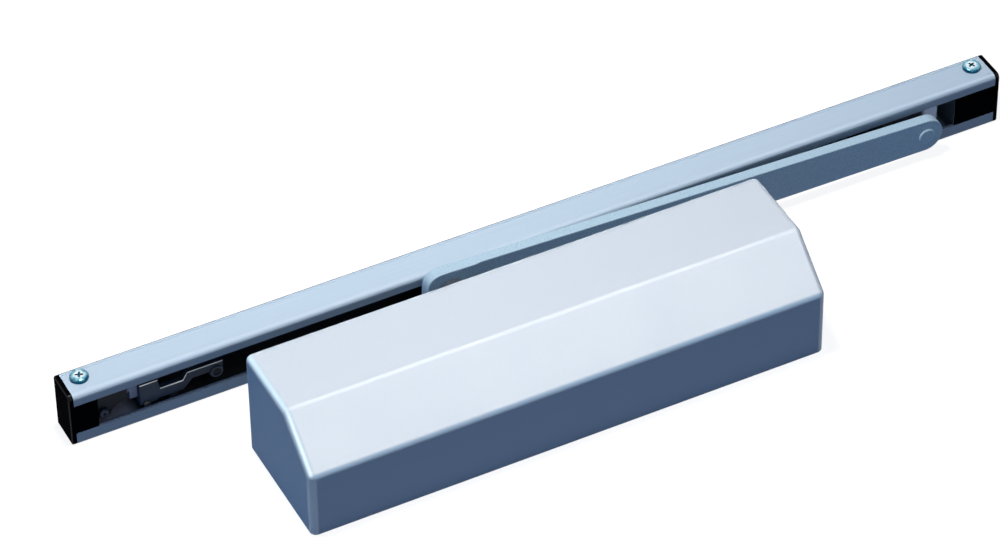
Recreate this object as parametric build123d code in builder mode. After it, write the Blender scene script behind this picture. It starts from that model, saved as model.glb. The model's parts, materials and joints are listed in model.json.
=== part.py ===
"""Slide-rail door closer lying on its back, as it is fixed to a closed door and its frame.

X runs along the door, Y points from the closer up to the rail, and Z points out of the door face.
The origin is the centre of the four door screws, on the door face.
"""

import math
import os

from build123d import *

os.makedirs("parts", exist_ok=True)

# Clearances
running_gap = 0.05
thread_gap = 0.05
seat_gap = 0.1
slide_gap = 0.3

# Cover, open towards the door
cover_length = 268.0
cover_width = 68.5
cover_depth = 58.2
cover_wall = 2.0
cover_side_height = 36.7
cover_slope_run = 25.4
cover_edge_radius = 4.0
cover_ridge_radius = 2.6
cover_rib_thickness = 1.6
cover_rib_width = 24.0
cover_rib_height = 15.0
cover_rib_places = (-78.0, 62.0)

# Cast body: a barrel on a foot, with a boss across it for the spindle
axis_height = 22.5
barrel_radius = 21.5
bore_radius = 17.5
left_air = 46.0
right_air = 36.0
foot_thickness = 4.5
foot_width = 54.0
foot_corner = 5.0
foot_edge = 12.0
foot_air = 8.0
door_hole_spacing_y = 38.0
door_hole_radius = 3.3
boss_radius = 15.5
boss_air = 2.6

# Spindle, its pinion and its bearings
spindle_x = -14.4
spindle_radius = 8.0
spindle_square = 11.0
pinion_teeth = 12
pinion_module = 1.5
pinion_pressure_angle = 25.0
pinion_face = 18.0
mesh_backlash = 0.16
dedendum_ratio = 1.25
window_margin = 1.0
window_clearance = 0.8
rack_margin = 0.5
bearing_radius = 11.2
seal_length = 2.5
cap_depth = 2.5
cap_rim = 1.5
cap_rim_radius = 13.5
cap_air = 0.75

# Piston, its spring and the two end plugs
arm_swing_degrees = 135.0
piston_head = 12.0
piston_skirt = 13.0
spring_wire = 4.6
spring_turns = 6.5
wire_sides = 12
spring_air = 0.7
seat_length = 6.0
seat_travel = 7.5
seat_back_gap = 2.0
plug_length = 13.0
ring_wire = 1.2
power_screw_radius = 4.0
power_head_radius = 6.0
power_head_length = 4.0
power_socket = 3.2
power_screw_spare = 2.0
key_across_flats = 5.0
check_ball_radius = 2.2
check_floor = 3.0

# Speed valves in a pad on the lower side of the body
valve_count = 3
valve_spacing = 12.0
valve_first_x = -73.0
valve_radius = 3.2
valve_length = 8.0
valve_pad_air = 1.75
valve_pad_height = 18.0
valve_pad_corner = 3.0
valve_slot_width = 1.0
valve_slot_depth = 1.2

# Spring clips that hold the cover's ends
clip_thickness = 0.8
clip_width = 16.0
clip_height = 22.0
clip_foot = 12.0
clip_screw_radius = 2.0
clip_screw_head_radius = 3.6
clip_screw_head = 1.8
clip_screw_length = 2.5

# Rail, a channel with its slot towards the closer
rail_length = 501.0
rail_width = 17.7
rail_depth = 30.0
rail_wall = 2.0
rail_lip = 6.5
rail_corner = 3.0
rail_small_corner = 0.8
rail_gap = 37.6
slider_end_gap = 10.3
rail_groove_width = 0.7
rail_groove_depth = 0.4
rail_groove_inset = 2.2
cap_flange = 2.6
left_block_length = 14.4
right_block_length = 25.5
rail_screw_inset = 10.3
rail_screw_offset = 1.9
rail_screw_radius = 2.4
rail_screw_clearance = 0.35
rail_screw_head_radius = 4.6
rail_screw_head_height = 2.2
rail_screw_crown = 1.6
recess_width = 1.1
recess_length = 4.6
recess_depth = 1.4

# Arm, its pin and the slider in the rail
arm_length = 261.4
arm_thickness = 5.6
arm_rail_gap = 3.3
hub_radius = 12.9
hub_extra = 0.6
hub_ramp = 3.0
tip_radius = 9.3
arm_edge = 0.5
arm_screw_radius = 3.0
arm_screw_head_radius = 7.5
arm_screw_head = 3.2
arm_screw_depth = 14.0
arm_screw_proud = 1.4
arm_screw_sink = 0.4
arm_screw_spare = 1.0
pin_radius = 3.6
pin_head_radius = 4.4
pin_head = 1.0
pin_depth = 11.0
washer_radius = 7.0
washer_thickness = 0.8
slider_lead = 11.1
slider_tail = 20.0
slider_corner = 2.0
guide_inset = 0.4
guide_corner = 1.0
neck_radius = 6.0
tongue_root = 2.0
tongue_low = 2.4
tongue_high = 8.4
hump_high = 11.2
hump_length = 10.0
notch_length = 10.0

# Hold-open unit in the left end of the rail
roller_inset = 75.7
roller_height = 12.1
roller_radius = 3.1
roller_width = 5.6
roller_pin_radius = 1.5
roller_pin_head = 0.8
roller_pin_dish = 2.2
lever_inset = 1.2
lever_plate = 3.0
lever_block_lead = 3.2
lever_block_width = 9.4
lever_block_low = 6.6
lever_block_high = 19.1
lever_neck_low = 7.5
lever_neck_high = 13.4
lever_arm_high = 17.4
lever_arm_low = 12.6
lever_end_radius = 3.6
lever_step_run = 4.8
lever_step_inset = 17.0
lever_fair = 1.0
pivot_reach = 35.9
pivot_height = 6.8
pivot_radius = 1.8
pivot_boss = 1.9
pivot_proud = 0.9
pivot_end = 0.5
base_plate = 2.0
base_edge = 1.0
base_margin = 14.0
base_foot = 1.4
bracket_low = 7.4
bracket_high = 20.6
bracket_width = 15.3
bracket_inset = 2.2
bracket_arch = 5.4
bracket_arch_run = 9.0
plunger_radius = 2.5
plunger_height = 16.9
plunger_length = 9.5
tension_screw_length = 5.5
tension_proud = 0.8
lever_spring_wire = 0.7
lever_spring_turns = 4.0
clamp_screw_radius = 1.7
clamp_head_radius = 2.6
clamp_head = 2.0
clamp_height = 10.2
stop_width = 4.0

# Places that follow from the sizes above
cover_half = cover_width / 2
slope_ratio = cover_slope_run / (cover_depth - cover_side_height)
slope_wall = cover_wall * math.hypot(1, slope_ratio)
foot_length = cover_length - 2 * (cover_wall + foot_air)
door_hole_spacing_x = foot_length - 2 * foot_edge
barrel_left = left_air - cover_length / 2
barrel_right = cover_length / 2 - right_air
boss_rise = max(0.0, axis_height + boss_radius - cover_side_height)
boss_low = cover_half - boss_rise * slope_ratio - slope_wall - boss_air
boss_high = cover_half - cover_wall - cap_rim - cap_air
pad_face = -(cover_half - cover_wall - valve_pad_air)
pitch_radius = pinion_module * pinion_teeth / 2
tip_circle = pitch_radius + pinion_module
dedendum = dedendum_ratio * pinion_module
root_circle = pitch_radius - dedendum
piston_travel = math.radians(arm_swing_degrees) * pitch_radius
window_left = spindle_x - tip_circle - piston_travel - window_margin
window_right = spindle_x + tip_circle + window_margin
piston_left = window_left - piston_head
piston_right = window_right + piston_skirt
piston_radius = bore_radius - running_gap
right_plug_face = barrel_right - plug_length
seat_right = right_plug_face - seat_back_gap
seat_left = seat_right - seat_length
rail_front = cover_half + rail_gap
rail_back = rail_front + rail_width
rail_middle = rail_depth / 2
channel_front = rail_front + rail_wall
channel_back = rail_back - rail_wall
arm_back = rail_front - arm_rail_gap
arm_front = arm_back - arm_thickness
hub_front = arm_front - hub_extra
arm_tilt = math.asin((axis_height - rail_middle) / arm_length)
pin_x = spindle_x + arm_length * math.cos(arm_tilt)
rail_right = pin_x + slider_lead + slider_end_gap + right_block_length
rail_left = rail_right - rail_length
rail_centre = (rail_left + rail_right) / 2
roller_x = rail_left + roller_inset
pivot_x = roller_x - pivot_reach
block_left = pivot_x - lever_block_lead
block_right = block_left + lever_block_width
lever_front = channel_front + lever_inset
lever_back = lever_front + lever_plate
base_front = channel_back - base_plate - seat_gap
block_back = base_front - pivot_boss - slide_gap
rail_screw_y = (channel_front + channel_back) / 2 + rail_screw_offset


def side_plane(y):
    """Plane facing the lower side at height y: sketch x is X and sketch y is Z."""
    return Plane(origin=(0, y, 0), x_dir=(1, 0, 0), z_dir=(0, -1, 0))


def rise(low, high):
    """Extrude a sketch on side_plane(low) up to high."""
    extrude(amount=-(high - low))


def sink(low, high):
    """Cut a sketch on side_plane(low) up to high."""
    extrude(amount=-(high - low), mode=Mode.SUBTRACT)


def keep(piece, name):
    """Label a finished piece and write it."""
    piece.part.label = name
    export_step(piece.part, f"parts/{name}.step")


def coil(radius, pitch, turns):
    """Points, tangents and biarcs of a helix about X that starts at the origin, half a turn at a time."""
    spans = round(turns * 2)
    ends = []
    for span in range(spans + 1):
        turn = math.pi * span
        place = Vector(pitch * span / 2, radius * math.cos(turn), radius * math.sin(turn))
        run = Vector(pitch / (2 * math.pi), -radius * math.sin(turn), radius * math.cos(turn))
        ends.append((place, run.normalized()))
    arcs = []
    for (start, out), (stop, into) in zip(ends, ends[1:]):
        chord = stop - start
        both = out + into
        spread = 4 - both.dot(both)
        along = chord.dot(both)
        reach = (math.sqrt(along * along + spread * chord.dot(chord)) - along) / spread
        joint = (start + out * reach + stop - into * reach) * 0.5
        middle = (stop - into * reach - joint).normalized()
        arcs.append((start, out, joint))
        arcs.append((joint, middle, stop))
    return arcs


def spring(left, length, radius, wire, turns, y, z):
    """Helical compression spring along X, its wire rounded to wire_sides flats, between two seats."""
    pitch = (length - wire) / turns
    print(f"spring gap {pitch * math.cos(math.atan(pitch / (2 * math.pi * radius))) - wire:.2f} mm")
    start = Vector(left + wire / 2, y, z)
    with BuildPart() as turned:
        with BuildLine() as path:
            for begin, heading, end in coil(radius, pitch, turns):
                TangentArc(start + begin, start + end, tangent=heading)
        with BuildSketch(Plane(origin=path.line @ 0, z_dir=path.line % 0)):
            RegularPolygon(wire / 2, wire_sides)
        sweep()
    return turned


def ring(radius, wire, x):
    """Seal of square section about the barrel's axis."""
    with BuildPart() as seal:
        with BuildSketch(Plane.XY):
            with Locations((x, radius)):
                Rectangle(2 * wire, 2 * wire)
        revolve(axis=Axis.X)
    seal.part.position = (0, 0, axis_height)
    return seal


# Cover: a thin shell with a sloped lower side, and ribs that sit over the barrel
with BuildPart() as cover:
    with BuildSketch(Plane.YZ):
        with BuildLine():
            Polyline(
                (-cover_half, 0),
                (-cover_half, cover_side_height),
                (cover_slope_run - cover_half, cover_depth),
                (cover_half, cover_depth),
                (cover_half, 0),
                close=True,
            )
        make_face()
    extrude(amount=cover_length / 2, both=True)
    ridge = cover.edges().filter_by(Axis.X).group_by(Axis.Z)[-1].sort_by(Axis.Y)[0]
    fillet(ridge, cover_ridge_radius)
    long_lines = cover.edges().filter_by(Axis.X)
    crease = long_lines.group_by(Axis.Y)[0].sort_by(Axis.Z)[-1]
    back_corner = long_lines.group_by(Axis.Y)[-1].sort_by(Axis.Z)[-1]
    rims = cover.faces().filter_by(Axis.X).edges().filter_by_position(Axis.Z, cover_wall, 2 * cover_depth)
    fillet(rims + [crease, back_corner], cover_edge_radius)
    offset(amount=-cover_wall, openings=cover.faces().sort_by(Axis.Z)[0])
    for place in cover_rib_places:
        with BuildSketch(Plane.YZ.offset(place - cover_rib_thickness / 2)):
            with Locations((cover_slope_run - cover_half, cover_depth - cover_wall / 2)):
                Rectangle(cover_rib_width, cover_rib_height, align=(Align.MIN, Align.MAX))
            with Locations((0, axis_height)):
                Circle(barrel_radius + slide_gap, mode=Mode.SUBTRACT)
        extrude(amount=cover_rib_thickness)
    with BuildSketch(side_plane(cover_half - 2 * cover_wall)):
        with Locations((spindle_x, axis_height)):
            Circle(cap_rim_radius + slide_gap)
            Rectangle(2 * (cap_rim_radius + slide_gap), axis_height, align=(Align.CENTER, Align.MAX))
    sink(cover_half - 2 * cover_wall, cover_half + cover_wall)
keep(cover, "cover")

# Cast body
with BuildPart() as closer_body:
    with BuildSketch(Plane.YZ.offset(barrel_left)):
        with Locations((0, axis_height)):
            Circle(barrel_radius)
            Rectangle(2 * barrel_radius, axis_height, align=(Align.CENTER, Align.MAX))
    extrude(amount=barrel_right - barrel_left)
    with BuildSketch(Plane.XY):
        RectangleRounded(foot_length, foot_width, foot_corner)
    extrude(amount=foot_thickness)
    with BuildSketch(side_plane(-boss_low)):
        with Locations((spindle_x, axis_height)):
            Circle(boss_radius)
    rise(-boss_low, boss_high)
    pad_middle = valve_first_x + valve_spacing * (valve_count - 1) / 2
    with BuildSketch(side_plane(pad_face)):
        with Locations((pad_middle, axis_height)):
            RectangleRounded(valve_spacing * valve_count, valve_pad_height, valve_pad_corner)
    rise(pad_face, 0)
    with BuildSketch(Plane.YZ.offset(barrel_left)):
        with Locations((0, axis_height)):
            Circle(bore_radius)
    extrude(amount=barrel_right - barrel_left, mode=Mode.SUBTRACT)
    with BuildSketch(side_plane(-boss_low)):
        with Locations((spindle_x, axis_height)):
            Circle(bearing_radius)
    sink(-boss_low, boss_high)
    with BuildSketch(side_plane(pad_face)):
        with Locations((valve_first_x, axis_height)):
            with GridLocations(valve_spacing, 1, valve_count, 1, align=(Align.MIN, Align.CENTER)):
                Circle(valve_radius + running_gap)
    sink(pad_face, pad_face + valve_length + seat_gap)
    with BuildSketch(Plane.XY):
        with GridLocations(door_hole_spacing_x, door_hole_spacing_y, 2, 2):
            Circle(door_hole_radius)
    extrude(amount=foot_thickness, mode=Mode.SUBTRACT)
    with BuildSketch(Plane.XY.offset(foot_thickness)):
        with GridLocations(door_hole_spacing_x, 1, 2, 1):
            Circle(clip_screw_radius + thread_gap)
    extrude(amount=-clip_screw_length, mode=Mode.SUBTRACT)
keep(closer_body, "closer_body")

# End plugs, screwed into the barrel and sealed by a ring each
groove_radius = bore_radius - 2 * ring_wire - seat_gap
plug_radius = bore_radius - thread_gap
with BuildPart() as left_plug:
    with BuildSketch(Plane.YZ.offset(barrel_left)):
        with Locations((0, axis_height)):
            Circle(plug_radius)
    extrude(amount=plug_length)
    with BuildSketch(Plane.YZ.offset(barrel_left)):
        with Locations((0, axis_height)):
            RegularPolygon(key_across_flats, 6, major_radius=False)
    extrude(amount=plug_length / 2, mode=Mode.SUBTRACT)
    with BuildSketch(Plane.YZ.offset(barrel_left + plug_length / 2 - ring_wire)):
        with Locations((0, axis_height)):
            Circle(bore_radius)
            Circle(groove_radius, mode=Mode.SUBTRACT)
    extrude(amount=2 * ring_wire, mode=Mode.SUBTRACT)
keep(left_plug, "left_plug")

with BuildPart() as right_plug:
    with BuildSketch(Plane.YZ.offset(right_plug_face)):
        with Locations((0, axis_height)):
            Circle(plug_radius)
    extrude(amount=plug_length)
    with BuildSketch(Plane.YZ.offset(right_plug_face)):
        with Locations((0, axis_height)):
            Circle(power_screw_radius + running_gap)
    extrude(amount=plug_length, mode=Mode.SUBTRACT)
    with BuildSketch(Plane.YZ.offset(barrel_right - plug_length / 2 - ring_wire)):
        with Locations((0, axis_height)):
            Circle(bore_radius)
            Circle(groove_radius, mode=Mode.SUBTRACT)
    extrude(amount=2 * ring_wire, mode=Mode.SUBTRACT)
keep(right_plug, "right_plug")

ring_radius = bore_radius - ring_wire - running_gap
left_seal = ring(ring_radius, ring_wire - running_gap, barrel_left + plug_length / 2)
keep(left_seal, "left_plug_seal")
right_seal = ring(ring_radius, ring_wire - running_gap, barrel_right - plug_length / 2)
keep(right_seal, "right_plug_seal")

# Spring power: a screw held in the right plug drives a nut that the spring leans on
power_screw_end = seat_left - seat_travel - power_screw_spare
power_head = barrel_right + seat_gap
with BuildPart() as power_screw:
    with BuildSketch(Plane.YZ.offset(power_screw_end)):
        with Locations((0, axis_height)):
            Circle(power_screw_radius)
    extrude(amount=power_head - power_screw_end)
    with BuildSketch(Plane.YZ.offset(power_head)):
        with Locations((0, axis_height)):
            Circle(power_head_radius)
    extrude(amount=power_head_length)
    with BuildSketch(Plane.YZ.offset(power_head + power_head_length)):
        with Locations((0, axis_height)):
            RegularPolygon(key_across_flats / 2, 6, major_radius=False)
    extrude(amount=-power_socket, mode=Mode.SUBTRACT)
keep(power_screw, "power_screw")

with BuildPart() as spring_seat:
    with BuildSketch(Plane.YZ.offset(seat_left)):
        with Locations((0, axis_height)):
            Circle(bore_radius - seat_gap)
            Circle(power_screw_radius + running_gap, mode=Mode.SUBTRACT)
    extrude(amount=seat_length)
keep(spring_seat, "spring_seat")

closing_spring = spring(
    left=piston_right + seat_gap,
    length=seat_left - piston_right - 2 * seat_gap,
    radius=bore_radius - spring_air - spring_wire / 2,
    wire=spring_wire,
    turns=spring_turns,
    y=0,
    z=axis_height,
)
keep(closing_spring, "closing_spring")

# Piston: a plunger with a window for the pinion and a rack along the window's outer side
rack_root = axis_height + pitch_radius + dedendum
rack_pitch = math.pi * pinion_module
rack_slope = math.tan(math.radians(pinion_pressure_angle))
rack_half = (rack_pitch / 2 - mesh_backlash) / 2
rack_reach = pinion_face / 2 - rack_margin
teeth_left = math.floor((spindle_x - window_left) / rack_pitch - 0.5)
teeth_right = math.floor((window_right - spindle_x) / rack_pitch - 0.5)
check_bore_length = piston_head - check_floor
with BuildPart() as piston:
    with BuildSketch(Plane.YZ.offset(piston_left)):
        with Locations((0, axis_height)):
            Circle(piston_radius)
    extrude(amount=piston_right - piston_left)
    window_low = axis_height - tip_circle - window_clearance
    with BuildSketch(side_plane(-bore_radius)):
        with Locations((window_left, window_low)):
            Rectangle(window_right - window_left, rack_root - window_low, align=(Align.MIN, Align.MIN))
    sink(-bore_radius, bore_radius)
    with BuildSketch(side_plane(-rack_reach)):
        for step in range(-teeth_left - 1, teeth_right + 1):
            with Locations((spindle_x + (step + 0.5) * rack_pitch, axis_height + pitch_radius)):
                Polygon(
                    (-rack_half + pinion_module * rack_slope, -pinion_module),
                    (rack_half - pinion_module * rack_slope, -pinion_module),
                    (rack_half + dedendum * rack_slope, dedendum),
                    (rack_half + dedendum * rack_slope, 2 * pinion_module),
                    (-rack_half - dedendum * rack_slope, 2 * pinion_module),
                    (-rack_half - dedendum * rack_slope, dedendum),
                    align=None,
                )
    rise(-rack_reach, rack_reach)
    with BuildSketch(Plane.YZ.offset(piston_left)):
        with Locations((0, axis_height)):
            Circle(check_ball_radius + seat_gap)
    extrude(amount=check_bore_length, mode=Mode.SUBTRACT)
    with BuildSketch(Plane.YZ.offset(piston_left)):
        with Locations((0, axis_height)):
            Circle(check_ball_radius / 2)
    extrude(amount=piston_head, mode=Mode.SUBTRACT)
    with BuildSketch(Plane.YZ.offset(piston_left + piston_head / 2 - ring_wire)):
        with Locations((0, axis_height)):
            Circle(bore_radius)
            Circle(groove_radius, mode=Mode.SUBTRACT)
    extrude(amount=2 * ring_wire, mode=Mode.SUBTRACT)
keep(piston, "piston")

piston_ring = ring(ring_radius, ring_wire - running_gap, piston_left + piston_head / 2)
keep(piston_ring, "piston_ring")

with BuildPart() as check_ball:
    with Locations((piston_left + check_bore_length - check_ball_radius - seat_gap, 0, axis_height)):
        Sphere(check_ball_radius)
keep(check_ball, "check_ball")

with BuildPart() as check_retainer:
    with BuildSketch(Plane.YZ.offset(piston_left)):
        with Locations((0, axis_height)):
            Circle(check_ball_radius + seat_gap - thread_gap)
            Circle(check_ball_radius / 2, mode=Mode.SUBTRACT)
    extrude(amount=check_bore_length - 2 * check_ball_radius - 2 * seat_gap)
keep(check_retainer, "check_retainer")

# Spindle with a pinion cut in its middle and a square for the arm
base_circle = pitch_radius * math.cos(math.radians(pinion_pressure_angle))


def involute(angle):
    """Involute function of a pressure angle in radians."""
    return math.tan(angle) - angle


def flank(radius):
    """Point of the tooth's right flank at a radius, for a tooth that points along sketch y."""
    pressure = math.acos(min(1.0, base_circle / radius))
    start = math.pi / (2 * pinion_teeth) + involute(math.radians(pinion_pressure_angle))
    half = start - involute(pressure)
    return (radius * math.sin(half), radius * math.cos(half))


def mirrored(point):
    return (-point[0], point[1])


with BuildSketch() as tooth:
    foot = flank(base_circle)
    middle = flank((base_circle + tip_circle) / 2)
    crown = flank(tip_circle)
    toe = (foot[0], root_circle - pinion_module / 2)
    with BuildLine():
        ThreePointArc(foot, middle, crown)
        Line(crown, mirrored(crown))
        ThreePointArc(mirrored(crown), mirrored(middle), mirrored(foot))
        Polyline(mirrored(foot), mirrored(toe), toe, foot)
    make_face()

screw_seat = arm_back - arm_screw_head + arm_screw_proud
spindle_low = cap_depth + seat_gap - boss_low
with BuildPart() as pinion_spindle:
    with BuildSketch(side_plane(spindle_low)):
        with Locations((spindle_x, axis_height)):
            Circle(spindle_radius)
    rise(spindle_low, -pinion_face / 2)
    with BuildSketch(side_plane(-pinion_face / 2)):
        with Locations((spindle_x, axis_height)):
            Circle(root_circle)
            with PolarLocations(0, pinion_teeth):
                add(tooth.sketch, rotation=-90)
    rise(-pinion_face / 2, pinion_face / 2)
    with BuildSketch(side_plane(pinion_face / 2)):
        with Locations((spindle_x, axis_height)):
            Circle(spindle_radius)
    rise(pinion_face / 2, hub_front)
    with BuildSketch(side_plane(hub_front)):
        with Locations((spindle_x, axis_height)):
            Rectangle(spindle_square, spindle_square, rotation=math.degrees(arm_tilt))
    rise(hub_front, screw_seat - arm_screw_sink)
    with BuildSketch(side_plane(screw_seat - arm_screw_depth)):
        with Locations((spindle_x, axis_height)):
            Circle(arm_screw_radius + thread_gap)
    sink(screw_seat - arm_screw_depth, screw_seat)
keep(pinion_spindle, "pinion_spindle")

# Bearings, the seal and the caps of the spindle boss
bearing_start = bore_radius + slide_gap
seal_high = boss_high - cap_depth - seat_gap
seal_low = seal_high - seal_length


def sleeve(low, high, outer, inner):
    """Round sleeve about the spindle's axis."""
    with BuildPart() as made:
        with BuildSketch(side_plane(low)):
            with Locations((spindle_x, axis_height)):
                Circle(outer)
                Circle(inner, mode=Mode.SUBTRACT)
        rise(low, high)
    return made


fitted = bearing_radius - thread_gap
bored = spindle_radius + running_gap
upper_bearing = sleeve(bearing_start, seal_low - seat_gap, fitted, bored)
keep(upper_bearing, "upper_bearing")
lower_bearing = sleeve(spindle_low, -bearing_start, fitted, bored)
keep(lower_bearing, "lower_bearing")
spindle_seal = sleeve(seal_low, seal_high, fitted, bored)
keep(spindle_seal, "spindle_seal")

with BuildPart() as upper_cap:
    with BuildSketch(side_plane(boss_high - cap_depth)):
        with Locations((spindle_x, axis_height)):
            Circle(fitted)
    rise(boss_high - cap_depth, boss_high)
    with BuildSketch(side_plane(boss_high)):
        with Locations((spindle_x, axis_height)):
            Circle(cap_rim_radius)
    rise(boss_high, boss_high + cap_rim)
    with BuildSketch(side_plane(seal_low)):
        with Locations((spindle_x, axis_height)):
            Circle(spindle_radius + slide_gap)
    sink(seal_low, boss_high + cap_rim)
keep(upper_cap, "upper_cap")

with BuildPart() as lower_cap:
    with BuildSketch(side_plane(-boss_low)):
        with Locations((spindle_x, axis_height)):
            Circle(fitted)
    rise(-boss_low, cap_depth - boss_low)
    with BuildSketch(side_plane(-boss_low)):
        with Locations((spindle_x, axis_height)):
            RegularPolygon(key_across_flats, 6, major_radius=False)
    sink(-boss_low, cap_depth / 2 - boss_low)
keep(lower_cap, "lower_cap")

# Speed valves, screws with a slot that meter the oil
for index, name in enumerate(("backcheck_valve", "closing_valve", "latching_valve")):
    valve_x = valve_first_x + index * valve_spacing
    with BuildPart() as valve:
        with BuildSketch(side_plane(pad_face)):
            with Locations((valve_x, axis_height)):
                Circle(valve_radius)
        rise(pad_face, pad_face + valve_length)
        chamfer(valve.edges().sort_by(Axis.Y)[-1], valve_radius / 2)
        with BuildSketch(side_plane(pad_face)):
            with Locations((valve_x, axis_height)):
                Rectangle(2 * valve_radius, valve_slot_width)
        sink(pad_face, pad_face + valve_slot_depth)
    keep(valve, name)

# Spring clips on the foot, one at each end, that hold the cover
clip_reach = cover_length / 2 - cover_wall - seat_gap - door_hole_spacing_x / 2
with BuildPart() as cover_clips:
    for side in (-1, 1):
        with BuildSketch(side_plane(-clip_width / 2)):
            with BuildLine():
                start = side * (door_hole_spacing_x / 2 - clip_foot / 2)
                end = side * (door_hole_spacing_x / 2 + clip_reach)
                FilletPolyline(
                    (start, foot_thickness + clip_thickness / 2),
                    (end - side * clip_thickness / 2, foot_thickness + clip_thickness / 2),
                    (end - side * clip_thickness / 2, foot_thickness + clip_height),
                    radius=2 * clip_thickness,
                )
                offset(amount=clip_thickness / 2)
            make_face()
        rise(-clip_width / 2, clip_width / 2)
    with BuildSketch(Plane.XY.offset(foot_thickness)):
        with GridLocations(door_hole_spacing_x, 1, 2, 1):
            Circle(clip_screw_radius + thread_gap)
    extrude(amount=clip_thickness, mode=Mode.SUBTRACT)
keep(cover_clips, "cover_clips")

with BuildPart() as clip_screws:
    with BuildSketch(Plane.XY.offset(foot_thickness + clip_thickness)):
        with GridLocations(door_hole_spacing_x, 1, 2, 1):
            Circle(clip_screw_head_radius)
    extrude(amount=clip_screw_head)
    with BuildSketch(Plane.XY.offset(foot_thickness + clip_thickness)):
        with GridLocations(door_hole_spacing_x, 1, 2, 1):
            Circle(clip_screw_radius)
    extrude(amount=-clip_screw_length)
keep(clip_screws, "clip_screws")

# Arm: a flat tapered bar whose hub is thicker towards the closer
with BuildPart() as arm:
    with BuildSketch(side_plane(hub_front)):
        with Locations((spindle_x, axis_height)):
            Circle(hub_radius)
        with Locations((pin_x, rail_middle)):
            Circle(tip_radius)
        make_hull()
    rise(hub_front, arm_back)
    ramp_start = spindle_x + hub_radius
    beyond = pin_x + 2 * tip_radius
    with BuildSketch(Plane.XY):
        with BuildLine():
            Polyline(
                (ramp_start, hub_front),
                (ramp_start + hub_ramp, arm_front),
                (beyond, arm_front),
                (beyond, hub_front),
                close=True,
            )
        make_face()
    extrude(amount=2 * axis_height, mode=Mode.SUBTRACT)
    front_edges = arm.edges().filter_by_position(Axis.Y, hub_front - arm_edge, arm_front + arm_edge)
    front_edges = front_edges.filter_by(Axis.Z, reverse=True)
    back_edges = arm.edges().group_by(Axis.Y)[-1]
    chamfer(front_edges + back_edges, arm_edge)
    with BuildSketch(side_plane(hub_front)):
        with Locations((spindle_x, axis_height)):
            square_hole = spindle_square + 2 * thread_gap
            Rectangle(square_hole, square_hole, rotation=math.degrees(arm_tilt))
    sink(hub_front, arm_back)
    with BuildSketch(side_plane(screw_seat)):
        with Locations((spindle_x, axis_height)):
            Circle(arm_screw_head_radius + seat_gap)
    sink(screw_seat, arm_back)
    with BuildSketch(side_plane(arm_front)):
        with Locations((pin_x, rail_middle)):
            Circle(pin_radius + thread_gap)
    sink(arm_front, arm_back)
keep(arm, "arm")

with BuildPart() as arm_screw:
    with BuildSketch(side_plane(screw_seat)):
        with Locations((spindle_x, axis_height)):
            Circle(arm_screw_head_radius)
    rise(screw_seat, screw_seat + arm_screw_head)
    screw_end = screw_seat - arm_screw_depth + arm_screw_spare
    with BuildSketch(side_plane(screw_end)):
        with Locations((spindle_x, axis_height)):
            Circle(arm_screw_radius)
    rise(screw_end, screw_seat)
    with BuildSketch(side_plane(screw_seat + arm_screw_head / 3)):
        with Locations((spindle_x, axis_height)):
            RegularPolygon(key_across_flats / 2, 6, major_radius=False)
    sink(screw_seat + arm_screw_head / 3, screw_seat + arm_screw_head)
keep(arm_screw, "arm_screw")

# Pin riveted into the arm's tip, and the washer between arm and slider
guide_front = rail_front + guide_inset
with BuildPart() as arm_pin:
    with BuildSketch(side_plane(arm_front - pin_head)):
        with Locations((pin_x, rail_middle)):
            Circle(pin_head_radius)
    rise(arm_front - pin_head, arm_front)
    chamfer(arm_pin.edges().sort_by(Axis.Y)[0], pin_head / 2)
    with BuildSketch(side_plane(arm_front)):
        with Locations((pin_x, rail_middle)):
            Circle(pin_radius)
    rise(arm_front, channel_front + pin_depth)
keep(arm_pin, "arm_pin")

with BuildPart() as pin_washer:
    with BuildSketch(side_plane(arm_back + seat_gap)):
        with Locations((pin_x, rail_middle)):
            Circle(washer_radius)
            Circle(pin_radius + thread_gap, mode=Mode.SUBTRACT)
    rise(arm_back + seat_gap, arm_back + seat_gap + washer_thickness)
keep(pin_washer, "pin_washer")

# Slider: a block in the channel, a guide in the slot, a neck out to the arm and a humped tongue
neck_front = arm_back + washer_thickness + 2 * seat_gap
slider_left = pin_x - slider_tail
slider_right = pin_x + slider_lead
slider_front = channel_front + slide_gap
slider_back = channel_back - slide_gap
slider_low = rail_wall + slide_gap
slider_high = rail_depth - rail_wall - slide_gap
roller_front = lever_back + 2 * slide_gap
roller_back = roller_front + roller_width
hump_start = slider_left - notch_length
hump_end = hump_start - hump_length
with BuildPart() as slider:
    with BuildSketch(side_plane(slider_front)):
        with Locations(((slider_left + slider_right) / 2, rail_middle)):
            RectangleRounded(slider_right - slider_left, slider_high - slider_low, slider_corner)
    rise(slider_front, slider_back)
    with BuildSketch(side_plane(guide_front)):
        with Locations(((slider_left + slider_right) / 2, rail_middle)):
            guide_height = rail_depth - 2 * rail_lip - 2 * slide_gap
            RectangleRounded(slider_right - slider_left, guide_height, guide_corner)
    rise(guide_front, slider_front)
    with BuildSketch(side_plane(neck_front)):
        with Locations((pin_x, rail_middle)):
            Circle(neck_radius)
    rise(neck_front, guide_front)
    tongue_start = slider_left + tongue_root
    with BuildSketch(side_plane(roller_front - seat_gap)):
        with BuildLine():
            Line((tongue_start, tongue_low), (tongue_start, tongue_high))
            Line((tongue_start, tongue_high), (hump_start, tongue_high))
            ThreePointArc(
                (hump_start, tongue_high),
                ((hump_start + hump_end) / 2, hump_high),
                (hump_end, tongue_high),
            )
            Line((hump_end, tongue_high), (hump_end, tongue_low))
            Line((hump_end, tongue_low), (tongue_start, tongue_low))
        make_face()
    rise(roller_front - seat_gap, roller_back + seat_gap)
    with BuildSketch(side_plane(neck_front)):
        with Locations((pin_x, rail_middle)):
            Circle(pin_radius + running_gap)
    sink(neck_front, slider_back)
keep(slider, "slider")


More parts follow.
